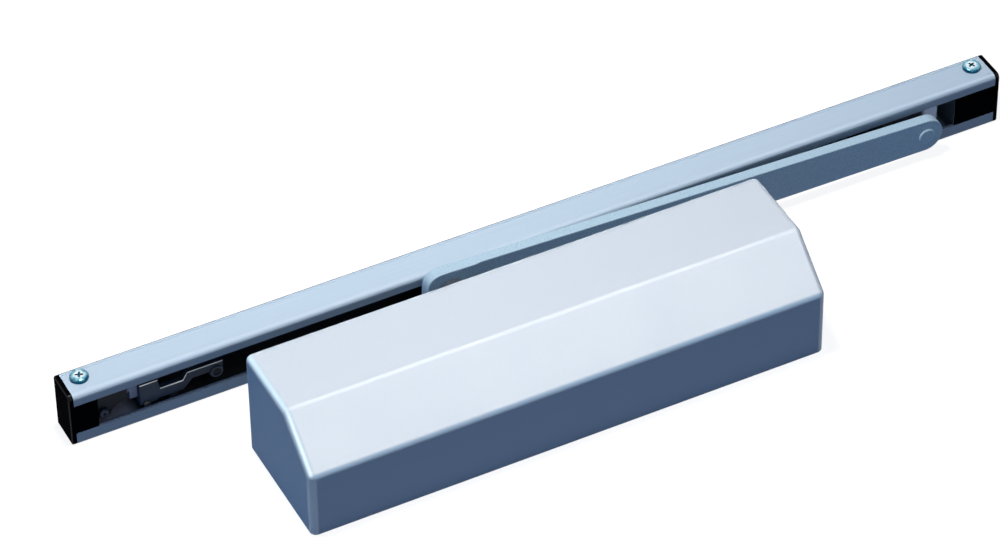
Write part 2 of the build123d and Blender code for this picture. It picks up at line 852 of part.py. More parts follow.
# Rail: a channel with two lips, screwed down through both ends
def rail_outline():
    """Outside of the rail's section, rounded most where its face turns to the slot."""
    with BuildSketch(Plane.YZ) as section:
        with Locations(((rail_front + rail_back) / 2, rail_middle)):
            Rectangle(rail_width, rail_depth)
        fillet(section.vertices().group_by(Axis.X)[0].sort_by(Axis.Y)[-1], rail_corner)
        back_corners = section.vertices().group_by(Axis.X)[-1]
        foot_corner = section.vertices().group_by(Axis.Y)[0].sort_by(Axis.X)[0]
        fillet(back_corners + [foot_corner], rail_small_corner)
    return section.sketch_local


with BuildPart() as rail:
    with BuildSketch(Plane.YZ.offset(rail_left + cap_flange)):
        add(rail_outline())
        with Locations((channel_front, rail_middle)):
            Rectangle(
                channel_back - channel_front,
                rail_depth - 2 * rail_wall,
                align=(Align.MIN, Align.CENTER),
                mode=Mode.SUBTRACT,
            )
        with Locations((rail_front, rail_middle)):
            Rectangle(
                rail_wall,
                rail_depth - 2 * rail_lip,
                align=(Align.MIN, Align.CENTER),
                mode=Mode.SUBTRACT,
            )
        with Locations((rail_back - rail_groove_inset, rail_depth)):
            Rectangle(rail_groove_width, 2 * rail_groove_depth, mode=Mode.SUBTRACT)
    extrude(amount=rail_length - 2 * cap_flange)
    with BuildSketch(Plane.XY):
        with Locations((rail_centre, rail_screw_y)):
            with GridLocations(rail_length - 2 * rail_screw_inset, 1, 2, 1):
                Circle(rail_screw_radius + rail_screw_clearance)
    extrude(amount=rail_depth, mode=Mode.SUBTRACT)
keep(rail, "rail")

# End caps: a flange over the rail's end and a block inside it that the rail screw passes through
for name, end, length in (
    ("left_end_cap", rail_left, left_block_length),
    ("right_end_cap", rail_right, -right_block_length),
):
    inward = math.copysign(1, length)
    with BuildPart() as end_cap:
        with BuildSketch(Plane.YZ.offset(end)):
            add(rail_outline())
        extrude(amount=inward * cap_flange)
        with BuildSketch(Plane.YZ.offset(end + inward * cap_flange)):
            with Locations((channel_front + seat_gap, rail_middle)):
                Rectangle(
                    channel_back - channel_front - 2 * seat_gap,
                    rail_depth - 2 * rail_wall - 2 * seat_gap,
                    align=(Align.MIN, Align.CENTER),
                )
            with Locations((rail_front + seat_gap, rail_middle)):
                Rectangle(
                    rail_wall + 2 * seat_gap,
                    rail_depth - 2 * rail_lip - 2 * seat_gap,
                    align=(Align.MIN, Align.CENTER),
                )
        extrude(amount=length - inward * cap_flange)
        with BuildSketch(Plane.XY):
            with Locations((end + inward * rail_screw_inset, rail_screw_y)):
                Circle(rail_screw_radius + rail_screw_clearance)
        extrude(amount=rail_depth, mode=Mode.SUBTRACT)
    keep(end_cap, name)

with BuildPart() as rail_screws:
    with BuildSketch(Plane.XY.offset(rail_depth)):
        with Locations((rail_centre, rail_screw_y)):
            with GridLocations(rail_length - 2 * rail_screw_inset, 1, 2, 1):
                Circle(rail_screw_head_radius)
    extrude(amount=rail_screw_head_height)
    fillet(rail_screws.faces().filter_by(Axis.Z).group_by(Axis.Z)[-1].edges(), rail_screw_crown)
    with BuildSketch(Plane.XY.offset(rail_depth)):
        with Locations((rail_centre, rail_screw_y)):
            with GridLocations(rail_length - 2 * rail_screw_inset, 1, 2, 1):
                Circle(rail_screw_radius)
    extrude(amount=-(rail_depth - seat_gap))
    with BuildSketch(Plane.XY.offset(rail_depth + rail_screw_head_height)):
        with Locations((rail_centre, rail_screw_y)):
            with GridLocations(rail_length - 2 * rail_screw_inset, 1, 2, 1):
                Rectangle(recess_length, recess_width)
                Rectangle(recess_width, recess_length)
    extrude(amount=-recess_depth, mode=Mode.SUBTRACT)
keep(rail_screws, "rail_screws")

# Hold-open unit: base plate, bracket, lever with a roller, and the sprung plunger that presses the lever
base_left = rail_left + left_block_length + slide_gap
base_right = roller_x - base_margin
base_low = rail_wall + base_edge
bracket_left = base_left + tension_proud
bracket_right = bracket_left + bracket_width
bracket_front = channel_front + bracket_inset
clamp_x = bracket_left + clamp_head_radius
stop_x = block_right + 2 * stop_width
foot_front = channel_front + slide_gap
with BuildPart() as holdopen_base:
    with BuildSketch(side_plane(base_front)):
        with Locations((base_left, base_low)):
            Rectangle(base_right - base_left, rail_depth - 2 * base_low, align=(Align.MIN, Align.MIN))
    rise(base_front, base_front + base_plate)
    with BuildSketch(side_plane(block_back + slide_gap)):
        with Locations((pivot_x, pivot_height)):
            Circle(2 * pivot_radius)
    rise(block_back + slide_gap, base_front)
    with BuildSketch(side_plane(foot_front)):
        with Locations((base_left, base_low)):
            Rectangle(pivot_x - base_left, base_foot, align=(Align.MIN, Align.MIN))
    rise(foot_front, base_front)
    with BuildSketch(side_plane(lever_front)):
        with Locations((stop_x, base_low)):
            Rectangle(stop_width, lever_neck_low - slide_gap - base_low, align=(Align.CENTER, Align.MIN))
    rise(lever_front, base_front)
    with BuildSketch(side_plane(lever_front)):
        with Locations((pivot_x, pivot_height)):
            Circle(pivot_radius + thread_gap)
        with Locations((clamp_x, clamp_height)):
            Circle(clamp_screw_radius + thread_gap)
    sink(lever_front, channel_back)
keep(holdopen_base, "holdopen_base")

plunger_y = (bracket_front + block_back) / 2
with BuildPart() as holdopen_bracket:
    with BuildSketch(side_plane(bracket_front)):
        with Locations((bracket_left, bracket_low)):
            Rectangle(bracket_width, bracket_high - bracket_low, align=(Align.MIN, Align.MIN))
        with Locations((bracket_right, bracket_low)):
            Ellipse(bracket_arch_run, bracket_arch, mode=Mode.SUBTRACT)
    rise(bracket_front, base_front)
    with BuildSketch(Plane.YZ.offset(bracket_left)):
        with Locations((plunger_y, plunger_height)):
            Circle(plunger_radius + running_gap)
    extrude(amount=bracket_width, mode=Mode.SUBTRACT)
    with BuildSketch(side_plane(bracket_front)):
        with Locations((clamp_x, clamp_height)):
            Circle(clamp_screw_radius + thread_gap)
    sink(bracket_front, base_front)
keep(holdopen_bracket, "holdopen_bracket")

with BuildPart() as clamp_screw:
    with BuildSketch(side_plane(bracket_front - clamp_head)):
        with Locations((clamp_x, clamp_height)):
            Circle(clamp_head_radius)
    rise(bracket_front - clamp_head, bracket_front)
    fillet(clamp_screw.edges().sort_by(Axis.Y)[0], clamp_head / 2)
    with BuildSketch(side_plane(bracket_front)):
        with Locations((clamp_x, clamp_height)):
            Circle(clamp_screw_radius)
    rise(bracket_front, base_front + base_plate)
    with BuildSketch(side_plane(bracket_front - clamp_head)):
        with Locations((clamp_x, clamp_height)):
            Rectangle(recess_length / 2, recess_width / 2)
            Rectangle(recess_width / 2, recess_length / 2)
    sink(bracket_front - clamp_head, bracket_front - clamp_head / 2)
keep(clamp_screw, "clamp_screw")

step_x = roller_x - lever_step_inset
with BuildPart() as holdopen_lever:
    with BuildSketch(side_plane(lever_front)):
        with BuildLine():
            Polyline(
                (block_left, lever_block_low),
                (block_left, lever_block_high),
                (block_right, lever_block_high),
                (block_right + lever_fair, lever_neck_high),
                (step_x, lever_neck_high),
                (step_x + lever_step_run / 2, lever_arm_high),
                (roller_x + lever_end_radius, lever_arm_high),
                (roller_x + lever_end_radius, lever_arm_low),
                (step_x + lever_step_run, lever_arm_low),
                (step_x, lever_neck_low),
                (block_right, lever_neck_low),
                (block_right - lever_fair, lever_block_low),
                close=True,
            )
        make_face()
        with Locations((roller_x, roller_height)):
            Circle(lever_end_radius)
    rise(lever_front, lever_back)
    with BuildSketch(side_plane(lever_back)):
        with Locations((block_left, lever_block_low)):
            Rectangle(lever_block_width, lever_block_high - lever_block_low, align=(Align.MIN, Align.MIN))
    rise(lever_back, block_back)
    with BuildSketch(side_plane(lever_front)):
        with Locations((pivot_x, pivot_height)):
            Circle(pivot_radius + running_gap)
    sink(lever_front, block_back)
    with BuildSketch(side_plane(lever_front)):
        with Locations((roller_x, roller_height)):
            Circle(roller_pin_radius + thread_gap)
    sink(lever_front, lever_back)
keep(holdopen_lever, "holdopen_lever")

pivot_front = lever_front - pivot_proud
with BuildPart() as pivot_pin:
    with BuildSketch(side_plane(pivot_front)):
        with Locations((pivot_x, pivot_height)):
            Circle(pivot_radius)
    rise(pivot_front, base_front + base_plate)
    chamfer(pivot_pin.edges().sort_by(Axis.Y)[0], pivot_end)
keep(pivot_pin, "pivot_pin")

with BuildPart() as roller_pin:
    with BuildSketch(side_plane(lever_front - roller_pin_head)):
        with Locations((roller_x, roller_height)):
            Circle(roller_radius)
    rise(lever_front - roller_pin_head, lever_front)
    with BuildSketch(side_plane(lever_front)):
        with Locations((roller_x, roller_height)):
            Circle(roller_pin_radius)
    rise(lever_front, roller_back + slide_gap)
    with BuildSketch(side_plane(lever_front - roller_pin_head)):
        with Locations((roller_x, roller_height)):
            Circle(roller_pin_dish)
    sink(lever_front - roller_pin_head, lever_front - roller_pin_head / 2)
keep(roller_pin, "roller_pin")

with BuildPart() as detent_roller:
    with BuildSketch(side_plane(roller_front)):
        with Locations((roller_x, roller_height)):
            Circle(roller_radius)
            Circle(roller_pin_radius + running_gap, mode=Mode.SUBTRACT)
    rise(roller_front, roller_back)
keep(detent_roller, "detent_roller")

plunger_right = block_left - seat_gap
plunger_left = plunger_right - plunger_length
tension_left = base_left
with BuildPart() as plunger:
    with BuildSketch(Plane.YZ.offset(plunger_left)):
        with Locations((plunger_y, plunger_height)):
            Circle(plunger_radius)
    extrude(amount=plunger_length)
    fillet(plunger.edges().sort_by(Axis.X)[-1], plunger_radius / 2)
keep(plunger, "plunger")

with BuildPart() as tension_screw:
    with BuildSketch(Plane.YZ.offset(tension_left)):
        with Locations((plunger_y, plunger_height)):
            Circle(plunger_radius)
    extrude(amount=tension_screw_length)
    with BuildSketch(Plane.YZ.offset(tension_left)):
        with Locations((plunger_y, plunger_height)):
            Rectangle(2 * plunger_radius, valve_slot_width)
    extrude(amount=valve_slot_depth, mode=Mode.SUBTRACT)
keep(tension_screw, "tension_screw")

lever_spring_left = tension_left + tension_screw_length + seat_gap
lever_spring = spring(
    left=lever_spring_left,
    length=plunger_left - seat_gap - lever_spring_left,
    radius=plunger_radius - running_gap - lever_spring_wire / 2,
    wire=lever_spring_wire,
    turns=lever_spring_turns,
    y=plunger_y,
    z=plunger_height,
)
keep(lever_spring, "holdopen_spring")
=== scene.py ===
import json
import math

import bmesh
import bpy
from mathutils import Matrix, Vector

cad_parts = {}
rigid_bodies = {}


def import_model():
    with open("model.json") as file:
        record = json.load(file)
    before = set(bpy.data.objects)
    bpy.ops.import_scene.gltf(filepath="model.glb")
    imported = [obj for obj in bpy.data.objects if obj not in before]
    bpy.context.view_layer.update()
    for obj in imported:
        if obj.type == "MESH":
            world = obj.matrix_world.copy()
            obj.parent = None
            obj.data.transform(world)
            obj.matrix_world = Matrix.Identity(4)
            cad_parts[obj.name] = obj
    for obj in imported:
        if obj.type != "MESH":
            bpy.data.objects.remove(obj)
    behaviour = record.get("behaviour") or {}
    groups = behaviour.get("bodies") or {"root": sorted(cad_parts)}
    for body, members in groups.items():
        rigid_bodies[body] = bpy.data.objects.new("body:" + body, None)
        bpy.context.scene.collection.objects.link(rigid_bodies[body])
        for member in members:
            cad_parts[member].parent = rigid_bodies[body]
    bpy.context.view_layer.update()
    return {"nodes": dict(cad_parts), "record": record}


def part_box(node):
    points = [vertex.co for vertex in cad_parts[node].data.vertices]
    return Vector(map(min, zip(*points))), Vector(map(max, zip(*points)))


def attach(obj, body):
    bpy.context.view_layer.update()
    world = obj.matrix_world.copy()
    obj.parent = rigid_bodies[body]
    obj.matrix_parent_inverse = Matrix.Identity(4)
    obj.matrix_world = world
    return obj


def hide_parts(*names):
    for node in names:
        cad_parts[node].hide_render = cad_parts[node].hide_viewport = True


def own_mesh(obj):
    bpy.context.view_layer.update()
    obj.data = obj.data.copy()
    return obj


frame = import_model()
mm = 0.001
touch = 0.1 * mm  # points this near to a plane or a line count as on it
nodes = frame["nodes"]
behaviour = frame["record"]["behaviour"]
slotOf = {part["node"]: part["material_slot"] for part in frame["record"]["subparts"]}
print("frame loaded:", len(nodes), "nodes")


# small tools for working as by hand
def deselectAll():
    bpy.ops.object.select_all(action="DESELECT")


def makeActive(piece):
    deselectAll()
    bpy.context.view_layer.objects.active = piece
    piece.select_set(True)


def addBlock(name, low, high):
    deselectAll()
    low, high = Vector(low), Vector(high)
    bpy.ops.mesh.primitive_cube_add(size=1, location=(low + high) / 2, scale=high - low)
    bpy.ops.object.transform_apply(location=True, rotation=True, scale=True)
    block = bpy.context.active_object
    block.name = name
    return block


def addRod(name, start, end, radius, sides=64):
    deselectAll()
    start, end = Vector(start), Vector(end)
    run = end - start
    turn = run.to_track_quat("Z", "Y").to_euler()
    middle = (start + end) / 2
    bpy.ops.mesh.primitive_cylinder_add(
        vertices=sides, radius=radius, depth=run.length, location=middle, rotation=turn)
    bpy.ops.object.transform_apply(location=True, rotation=True, scale=True)
    rod = bpy.context.active_object
    rod.name = name
    return rod


def selectOnly(elements, test):
    for one in elements:
        one.select_set(False)
    for one in elements:
        if test(one):
            one.select_set(True)


def pickCorners(piece, test):  # in edit mode: test gets the corner's place
    mesh = bmesh.from_edit_mesh(piece.data)
    selectOnly(mesh.verts, lambda corner: test(corner.co))
    bmesh.update_edit_mesh(piece.data)


def pickEdges(piece, test):  # in edit mode: test gets the edge's two ends
    mesh = bmesh.from_edit_mesh(piece.data)
    selectOnly(mesh.edges, lambda edge: test(edge.verts[0].co, edge.verts[1].co))
    bmesh.update_edit_mesh(piece.data)


def pickFaces(piece, test):  # in edit mode: test gets the face's middle and normal
    mesh = bmesh.from_edit_mesh(piece.data)
    mesh.normal_update()
    selectOnly(mesh.faces, lambda face: test(face.calc_center_median(), face.normal))
    bmesh.update_edit_mesh(piece.data)


def startEdit(piece, pickMode):
    makeActive(piece)
    bpy.ops.object.mode_set(mode="EDIT")
    bpy.ops.mesh.select_mode(type=pickMode)
    bpy.ops.mesh.select_all(action="DESELECT")


def endEdit():
    bpy.ops.object.mode_set(mode="OBJECT")


def roundEdges(piece, radius, steps, test):
    startEdit(piece, "EDGE")
    pickEdges(piece, test)
    bpy.ops.mesh.bevel(offset=radius, offset_type="OFFSET", segments=steps, profile=0.5, affect="EDGES")
    endEdit()


def applyModifier(piece, kind, **settings):
    makeActive(piece)
    modifier = piece.modifiers.new(kind.title(), kind)
    for key, value in settings.items():
        setattr(modifier, key, value)
    bpy.ops.object.modifier_apply(modifier=modifier.name)


def cutWith(piece, cutter, operation="DIFFERENCE"):
    applyModifier(piece, "BOOLEAN", operation=operation, object=cutter, solver="EXACT")
    bpy.data.objects.remove(cutter, do_unlink=True)


def softenEdges(piece, width, steps, sharp):  # sharp in degrees
    applyModifier(
        piece, "BEVEL", width=width, segments=steps, limit_method="ANGLE",
        angle_limit=math.radians(sharp), use_clamp_overlap=True, harden_normals=False)


def smoothFaces(piece, angle):  # in degrees
    makeActive(piece)
    bpy.ops.object.shade_smooth_by_angle(angle=math.radians(angle))
    applyModifier(piece, "WEIGHTED_NORMAL", weight=60, keep_sharp=True)


def finishPiece(piece, body, slot, *replaced):
    piece.data.name = piece.name
    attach(piece, body)
    if replaced:
        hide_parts(*replaced)


# procedural finishes: a shade broken up by noise, uneven roughness and a fine bump
grainReach = (0.3, 0.7)  # nearly all of the noise lies between these
grainMiddle = (0.35, 0.65)  # and most of it between these
grainRoughness = 0.55


def newFinish(name, color, roughness, gloss=0.5, metallic=0.0):
    finish = bpy.data.materials.new(name)
    finish.use_nodes = True
    shader = finish.node_tree.nodes["Principled BSDF"]
    shader.inputs["Base Color"].default_value = (*color, 1)
    shader.inputs["Metallic"].default_value = metallic
    shader.inputs["Roughness"].default_value = roughness
    shader.inputs["Specular IOR Level"].default_value = gloss
    return finish, shader


def grainNode(finish, size, stretch=(1, 1, 1), detail=3.0):
    tree = finish.node_tree
    place = tree.nodes.new("ShaderNodeTexCoord")
    mapping = tree.nodes.new("ShaderNodeMapping")
    mapping.inputs["Scale"].default_value = [1 / (size * factor) for factor in stretch]
    noise = tree.nodes.new("ShaderNodeTexNoise")
    noise.inputs["Scale"].default_value = 1.0
    noise.inputs["Detail"].default_value = detail
    noise.inputs["Roughness"].default_value = grainRoughness
    tree.links.new(place.outputs["Object"], mapping.inputs["Vector"])
    tree.links.new(mapping.outputs["Vector"], noise.inputs["Vector"])
    return noise.outputs["Fac"]


def distanceNode(finish, middle, ways=(1, 1, 1)):  # from the middle, along the ways that count
    tree = finish.node_tree
    place = tree.nodes.new("ShaderNodeTexCoord")
    counted = tree.nodes.new("ShaderNodeVectorMath")
    counted.operation = "MULTIPLY"
    counted.inputs[1].default_value = ways
    distance = tree.nodes.new("ShaderNodeVectorMath")
    distance.operation = "DISTANCE"
    distance.inputs[1].default_value = [at * way for at, way in zip(middle, ways)]
    tree.links.new(place.outputs["Object"], counted.inputs[0])
    tree.links.new(counted.outputs["Vector"], distance.inputs[0])
    return distance.outputs["Value"]


def colorSpread(finish, shader, grain, darkColor, paleColor, reach):
    ramp = finish.node_tree.nodes.new("ShaderNodeValToRGB")
    for stop, position, color in zip(ramp.color_ramp.elements, reach, (darkColor, paleColor)):
        stop.position = position
        stop.color = (*color, 1)
    finish.node_tree.links.new(grain, ramp.inputs["Fac"])
    finish.node_tree.links.new(ramp.outputs["Color"], shader.inputs["Base Color"])
    return ramp


def scaled(color, factor):
    return tuple(channel * factor for channel in color)


def shadeSpread(finish, shader, grain, color, shades, reach=grainMiddle):  # a color times two factors
    dark, pale = shades
    colorSpread(finish, shader, grain, scaled(color, dark), scaled(color, pale), reach)


def placeRamp(finish, shader, value, start, end, startColor, endColor):
    remap = finish.node_tree.nodes.new("ShaderNodeMapRange")
    remap.inputs["From Min"].default_value = start
    remap.inputs["From Max"].default_value = end
    finish.node_tree.links.new(value, remap.inputs["Value"])
    colorSpread(finish, shader, remap.outputs["Result"], startColor, endColor, (0.0, 1.0))


def roughSpread(finish, shader, grain, roughness, swing=(-0.06, 0.08)):
    remap = finish.node_tree.nodes.new("ShaderNodeMapRange")
    remap.inputs["From Min"].default_value, remap.inputs["From Max"].default_value = grainReach
    remap.inputs["To Min"].default_value = roughness + swing[0]
    remap.inputs["To Max"].default_value = roughness + swing[1]
    finish.node_tree.links.new(grain, remap.inputs["Value"])
    finish.node_tree.links.new(remap.outputs["Result"], shader.inputs["Roughness"])


def addBump(finish, shader, grain, depth=0.01 * mm, strength=0.2):
    bump = finish.node_tree.nodes.new("ShaderNodeBump")
    bump.inputs["Distance"].default_value = depth
    bump.inputs["Strength"].default_value = strength
    finish.node_tree.links.new(grain, bump.inputs["Height"])
    finish.node_tree.links.new(bump.outputs["Normal"], shader.inputs["Normal"])


def makeCoverPaint(name, gloss):
    paint = dict(
        color=(0.60, 0.64, 0.67), roughness=0.46, cloud=30 * mm, swing=(-0.03, 0.04),
        flake=0.16 * mm, flakeShades=(0.955, 1.035), peel=1.6 * mm, peelDepth=0.02 * mm, peelStrength=0.10)
    finish, shader = newFinish(name, paint["color"], paint["roughness"], gloss)
    flake = grainNode(finish, paint["flake"], detail=1.5)
    shadeSpread(finish, shader, flake, paint["color"], paint["flakeShades"], grainReach)
    roughSpread(finish, shader, grainNode(finish, paint["cloud"]), paint["roughness"], paint["swing"])
    peel = grainNode(finish, paint["peel"], detail=1.0)
    addBump(finish, shader, peel, paint["peelDepth"], paint["peelStrength"])
    return finish


def makeRailAnodised(name, shade, gloss):
    skin = dict(
        color=(0.61, 0.72, 0.79), roughness=0.40, swing=(-0.05, 0.06), line=0.25 * mm, lineStretch=240,
        lineShades=(0.95, 1.04), lineStrength=0.12)
    color = scaled(skin["color"], shade)
    finish, shader = newFinish(name, color, skin["roughness"], gloss)
    lines = grainNode(finish, skin["line"], stretch=(skin["lineStretch"], 1, 1), detail=4.0)
    shadeSpread(finish, shader, lines, color, skin["lineShades"], grainReach)
    roughSpread(finish, shader, lines, skin["roughness"], skin["swing"])
    addBump(finish, shader, lines, strength=skin["lineStrength"])
    return finish


def makeArmSilver():
    coat = dict(
        color=(0.53, 0.69, 0.76), roughness=0.48, gloss=0.16, grain=0.55 * mm, shades=(0.86, 1.12),
        reach=(0.34, 0.66), depth=0.05 * mm, strength=0.30)
    finish, shader = newFinish("armSilver", coat["color"], coat["roughness"], coat["gloss"])
    blast = grainNode(finish, coat["grain"])
    shadeSpread(finish, shader, blast, coat["color"], coat["shades"], coat["reach"])
    roughSpread(finish, shader, blast, coat["roughness"])
    addBump(finish, shader, blast, coat["depth"], coat["strength"])
    return finish


def makeCastBody():
    cast = dict(
        color=(0.50, 0.52, 0.55), metallic=0.55, roughness=0.48, cloud=9 * mm, swing=(-0.08, 0.10),
        skin=0.9 * mm, shades=(0.8, 1.15), depth=0.06 * mm, strength=0.35)
    finish, shader = newFinish("castBody", cast["color"], cast["roughness"], metallic=cast["metallic"])
    skin = grainNode(finish, cast["skin"], detail=5.0)
    shadeSpread(finish, shader, skin, cast["color"], cast["shades"])
    roughSpread(finish, shader, grainNode(finish, cast["cloud"]), cast["roughness"], cast["swing"])
    addBump(finish, shader, skin, cast["depth"], cast["strength"])
    return finish


def makeBlackPlastic():
    mould = dict(
        color=(0.002, 0.002, 0.0024), roughness=0.6, gloss=0.0004, cloud=6 * mm, swing=(-0.12, 0.02),
        grain=0.22 * mm, shades=(0.7, 1.5), depth=0.02 * mm, strength=0.25)
    finish, shader = newFinish("blackPlastic", mould["color"], mould["roughness"], mould["gloss"])
    grain = grainNode(finish, mould["grain"], detail=2.0)
    shadeSpread(finish, shader, grain, mould["color"], mould["shades"])
    roughSpread(finish, shader, grainNode(finish, mould["cloud"]), mould["roughness"], mould["swing"])
    addBump(finish, shader, grain, mould["depth"], mould["strength"])
    return finish


def makeSliderPlastic():
    nylon = dict(
        color=(0.80, 0.79, 0.86), roughness=0.42, gloss=0.4, cloud=3.0 * mm, shades=(0.94, 1.03),
        pores=0.3 * mm)
    finish, shader = newFinish("sliderPlastic", nylon["color"], nylon["roughness"], nylon["gloss"])
    cloud = grainNode(finish, nylon["cloud"], detail=4.0)
    shadeSpread(finish, shader, cloud, nylon["color"], nylon["shades"])
    addBump(finish, shader, grainNode(finish, nylon["pores"], detail=2.0))
    return finish


def makeMetal(name, color, roughness, grain, metallic=1.0, stretch=(1, 1, 1), spread=0.12, gloss=0.5):
    finish, shader = newFinish(name, color, roughness, gloss, metallic)
    marks = grainNode(finish, grain, stretch=stretch, detail=4.0)
    shadeSpread(finish, shader, marks, color, (1 - spread, 1 + spread / 2))
    roughSpread(finish, shader, marks, roughness)
    addBump(finish, shader, marks)
    return finish


def makeZincSteel():  # bright plate with a faint blue passivation
    plate = dict(
        color=(0.44, 0.66, 0.78), tint=(0.12, 0.33, 0.47), cloud=1.8 * mm, cloudReach=(0.4, 0.6),
        roughness=0.17, mottle=0.5 * mm, swing=(-0.03, 0.11), pits=0.35 * mm)
    finish, shader = newFinish("zincSteel", plate["color"], plate["roughness"], metallic=1.0)
    cloud = grainNode(finish, plate["cloud"])
    colorSpread(finish, shader, cloud, plate["tint"], plate["color"], plate["cloudReach"])
    roughSpread(finish, shader, grainNode(finish, plate["mottle"]), plate["roughness"], plate["swing"])
    addBump(finish, shader, grainNode(finish, plate["pits"]))
    return finish


def makeRubber():
    rubber = dict(
        color=(0.022, 0.022, 0.022), dark=(0.014, 0.014, 0.014), pale=(0.034, 0.034, 0.035),
        roughness=0.6, gloss=0.3, bloom=1.5 * mm, pores=0.2 * mm, strength=0.3)
    finish, shader = newFinish("sealRubber", rubber["color"], rubber["roughness"], rubber["gloss"])
    bloom = grainNode(finish, rubber["bloom"], detail=4.0)
    colorSpread(finish, shader, bloom, rubber["dark"], rubber["pale"], grainMiddle)
    addBump(finish, shader, grainNode(finish, rubber["pores"]), strength=rubber["strength"])
    return finish


def makeRivetRimAndShade():  # riveted end: a pale rim, wear and painted highlight, round a dark middle, painted shade of a dish
    rivet = dict(
        dish=2.1 * mm, rim=2.5 * mm, dark=(0.006, 0.007, 0.009), worn=(0.12, 0.135, 0.155),
        roughness=0.42, gloss=0.08, pits=0.3 * mm)
    low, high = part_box("roller_pin")
    finish, shader = newFinish("dishedSteel", rivet["worn"], rivet["roughness"], rivet["gloss"])
    distance = distanceNode(finish, (low + high) / 2, ways=(1, 0, 1))
    placeRamp(finish, shader, distance, rivet["dish"], rivet["rim"], rivet["dark"], rivet["worn"])
    addBump(finish, shader, grainNode(finish, rivet["pits"]))
    return finish


def makeRampAlongX(name, startX, endX, rampColors):  # one color turns into the other along the rail; used for painted light and shade, and for grease in the channel
    patch = dict(mottle=1.5 * mm, swing=(-0.05, 0.07), pits=0.3 * mm)
    finish, shader = newFinish(name, rampColors["right"], rampColors["roughness"], rampColors["gloss"])
    tree = finish.node_tree
    place = tree.nodes.new("ShaderNodeTexCoord")
    parts = tree.nodes.new("ShaderNodeSeparateXYZ")
    tree.links.new(place.outputs["Object"], parts.inputs[0])
    placeRamp(finish, shader, parts.outputs["X"], startX, endX, rampColors["left"], rampColors["right"])
    roughSpread(finish, shader, grainNode(finish, patch["mottle"]), rampColors["roughness"], patch["swing"])
    addBump(finish, shader, grainNode(finish, patch["pits"], detail=2.0))
    return finish


def makeSliderLightAndShade():  # nylon made paler at its leading end, painted light, and dark behind the pin, painted shade between the rail's lip and the arm
    nylon = dict(
        left=(0.035, 0.036, 0.042), right=(0.92, 0.92, 0.96), clean=6.5 * mm, fade=2.5 * mm,
        roughness=0.42, gloss=0.3)
    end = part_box("slider")[1].x - nylon["clean"]
    return makeRampAlongX("greasedSlider", end - nylon["fade"], end, nylon)


def makeChannelGreaseAndShade():  # dark inside with grease and painted shade, and bare past the slider
    channel = dict(
        left=(0.011, 0.012, 0.015), right=(0.32, 0.38, 0.41), fade=6.0 * mm, roughness=0.55, gloss=0.1)
    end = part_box("slider")[1].x
    return makeRampAlongX("greasedChannel", end - channel["fade"], end, channel)


def makeLeverShade():  # darker towards its roller: painted shade
    lever = dict(
        left=(0.082, 0.096, 0.122), right=(0.036, 0.045, 0.060), inset=8.0 * mm, roughness=0.40, gloss=0.1)
    low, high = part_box("holdopen_lever")
    return makeRampAlongX("leverSteel", low.x + lever["inset"], high.x - lever["inset"], lever)


def makeBasePlateLightAndShade():  # paler by the bracket, painted light, and dark under the lever, painted shade
    plate = dict(
        left=(0.74, 0.60, 0.54), right=(0.05, 0.045, 0.044), fade=6.0 * mm, roughness=0.48, gloss=0.2)
    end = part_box("holdopen_lever")[0].x
    return makeRampAlongX("basePlate", end - plate["fade"], end, plate)


def makeScrewPlateWithPaintedRim(name, middle, radius):  # bright zinc on the face, blue towards the rim, and a dark rim that is a painted reflection
    plate = dict(
        face=(0.80, 0.90, 0.94), tint=(0.22, 0.52, 0.66), rim=(0.008, 0.085, 0.15), rampReach=(0.5, 0.98),
        inner=0.25, outer=1.35, patch=0.7, patchSize=2.2 * mm,
        roughness=0.15, mottle=0.5 * mm, swing=(-0.03, 0.09), pits=0.35 * mm)
    finish, shader = newFinish(name, plate["face"], plate["roughness"], metallic=1.0)
    tree = finish.node_tree
    patches = tree.nodes.new("ShaderNodeMath")  # uneven plating moves the tint in and out
    patches.operation = "MULTIPLY_ADD"
    patches.inputs[1].default_value = plate["patch"] * radius
    tree.links.new(grainNode(finish, plate["patchSize"], detail=2.0), patches.inputs[0])
    tree.links.new(distanceNode(finish, middle), patches.inputs[2])
    share = tree.nodes.new("ShaderNodeMapRange")
    share.inputs["From Min"].default_value = plate["inner"] * radius
    share.inputs["From Max"].default_value = plate["outer"] * radius
    tree.links.new(patches.outputs[0], share.inputs["Value"])
    ramp = colorSpread(
        finish, shader, share.outputs["Result"], plate["face"], plate["rim"], plate["rampReach"])
    tintStop = ramp.color_ramp.elements.new(sum(plate["rampReach"]) / 2)
    tintStop.color = (*plate["tint"], 1)
    roughSpread(finish, shader, grainNode(finish, plate["mottle"]), plate["roughness"], plate["swing"])
    addBump(finish, shader, grainNode(finish, plate["pits"]))
    return finish


finishes = {
    "cover_paint": makeCoverPaint("coverPaint", gloss=0.4),
    "rail_anodised": makeRailAnodised("railAnodised", shade=1.0, gloss=0.22),
    "arm_silver": makeArmSilver(),
    "cast_body": makeCastBody(),
    "black_plastic": makeBlackPlastic(),
    "slider_plastic": makeSliderPlastic(),
    "zinc_steel": makeZincSteel(),
    "dark_steel": makeMetal(
        "darkSteel", color=(0.035, 0.048, 0.07), roughness=0.40, grain=0.35 * mm, metallic=0.3, gloss=0.1),
    "bright_steel": makeMetal(
        "brightSteel", color=(0.60, 0.63, 0.67), roughness=0.28, grain=0.3 * mm, stretch=(1, 8, 1)),
    "spring_steel": makeMetal("springSteel", color=(0.22, 0.23, 0.25), roughness=0.34, grain=0.4 * mm),
    "seal_rubber": makeRubber(),
    "brass_metal": makeMetal(
        "brassMetal", color=(0.72, 0.55, 0.27), roughness=0.27, grain=0.3 * mm, stretch=(1, 6, 1)),
}
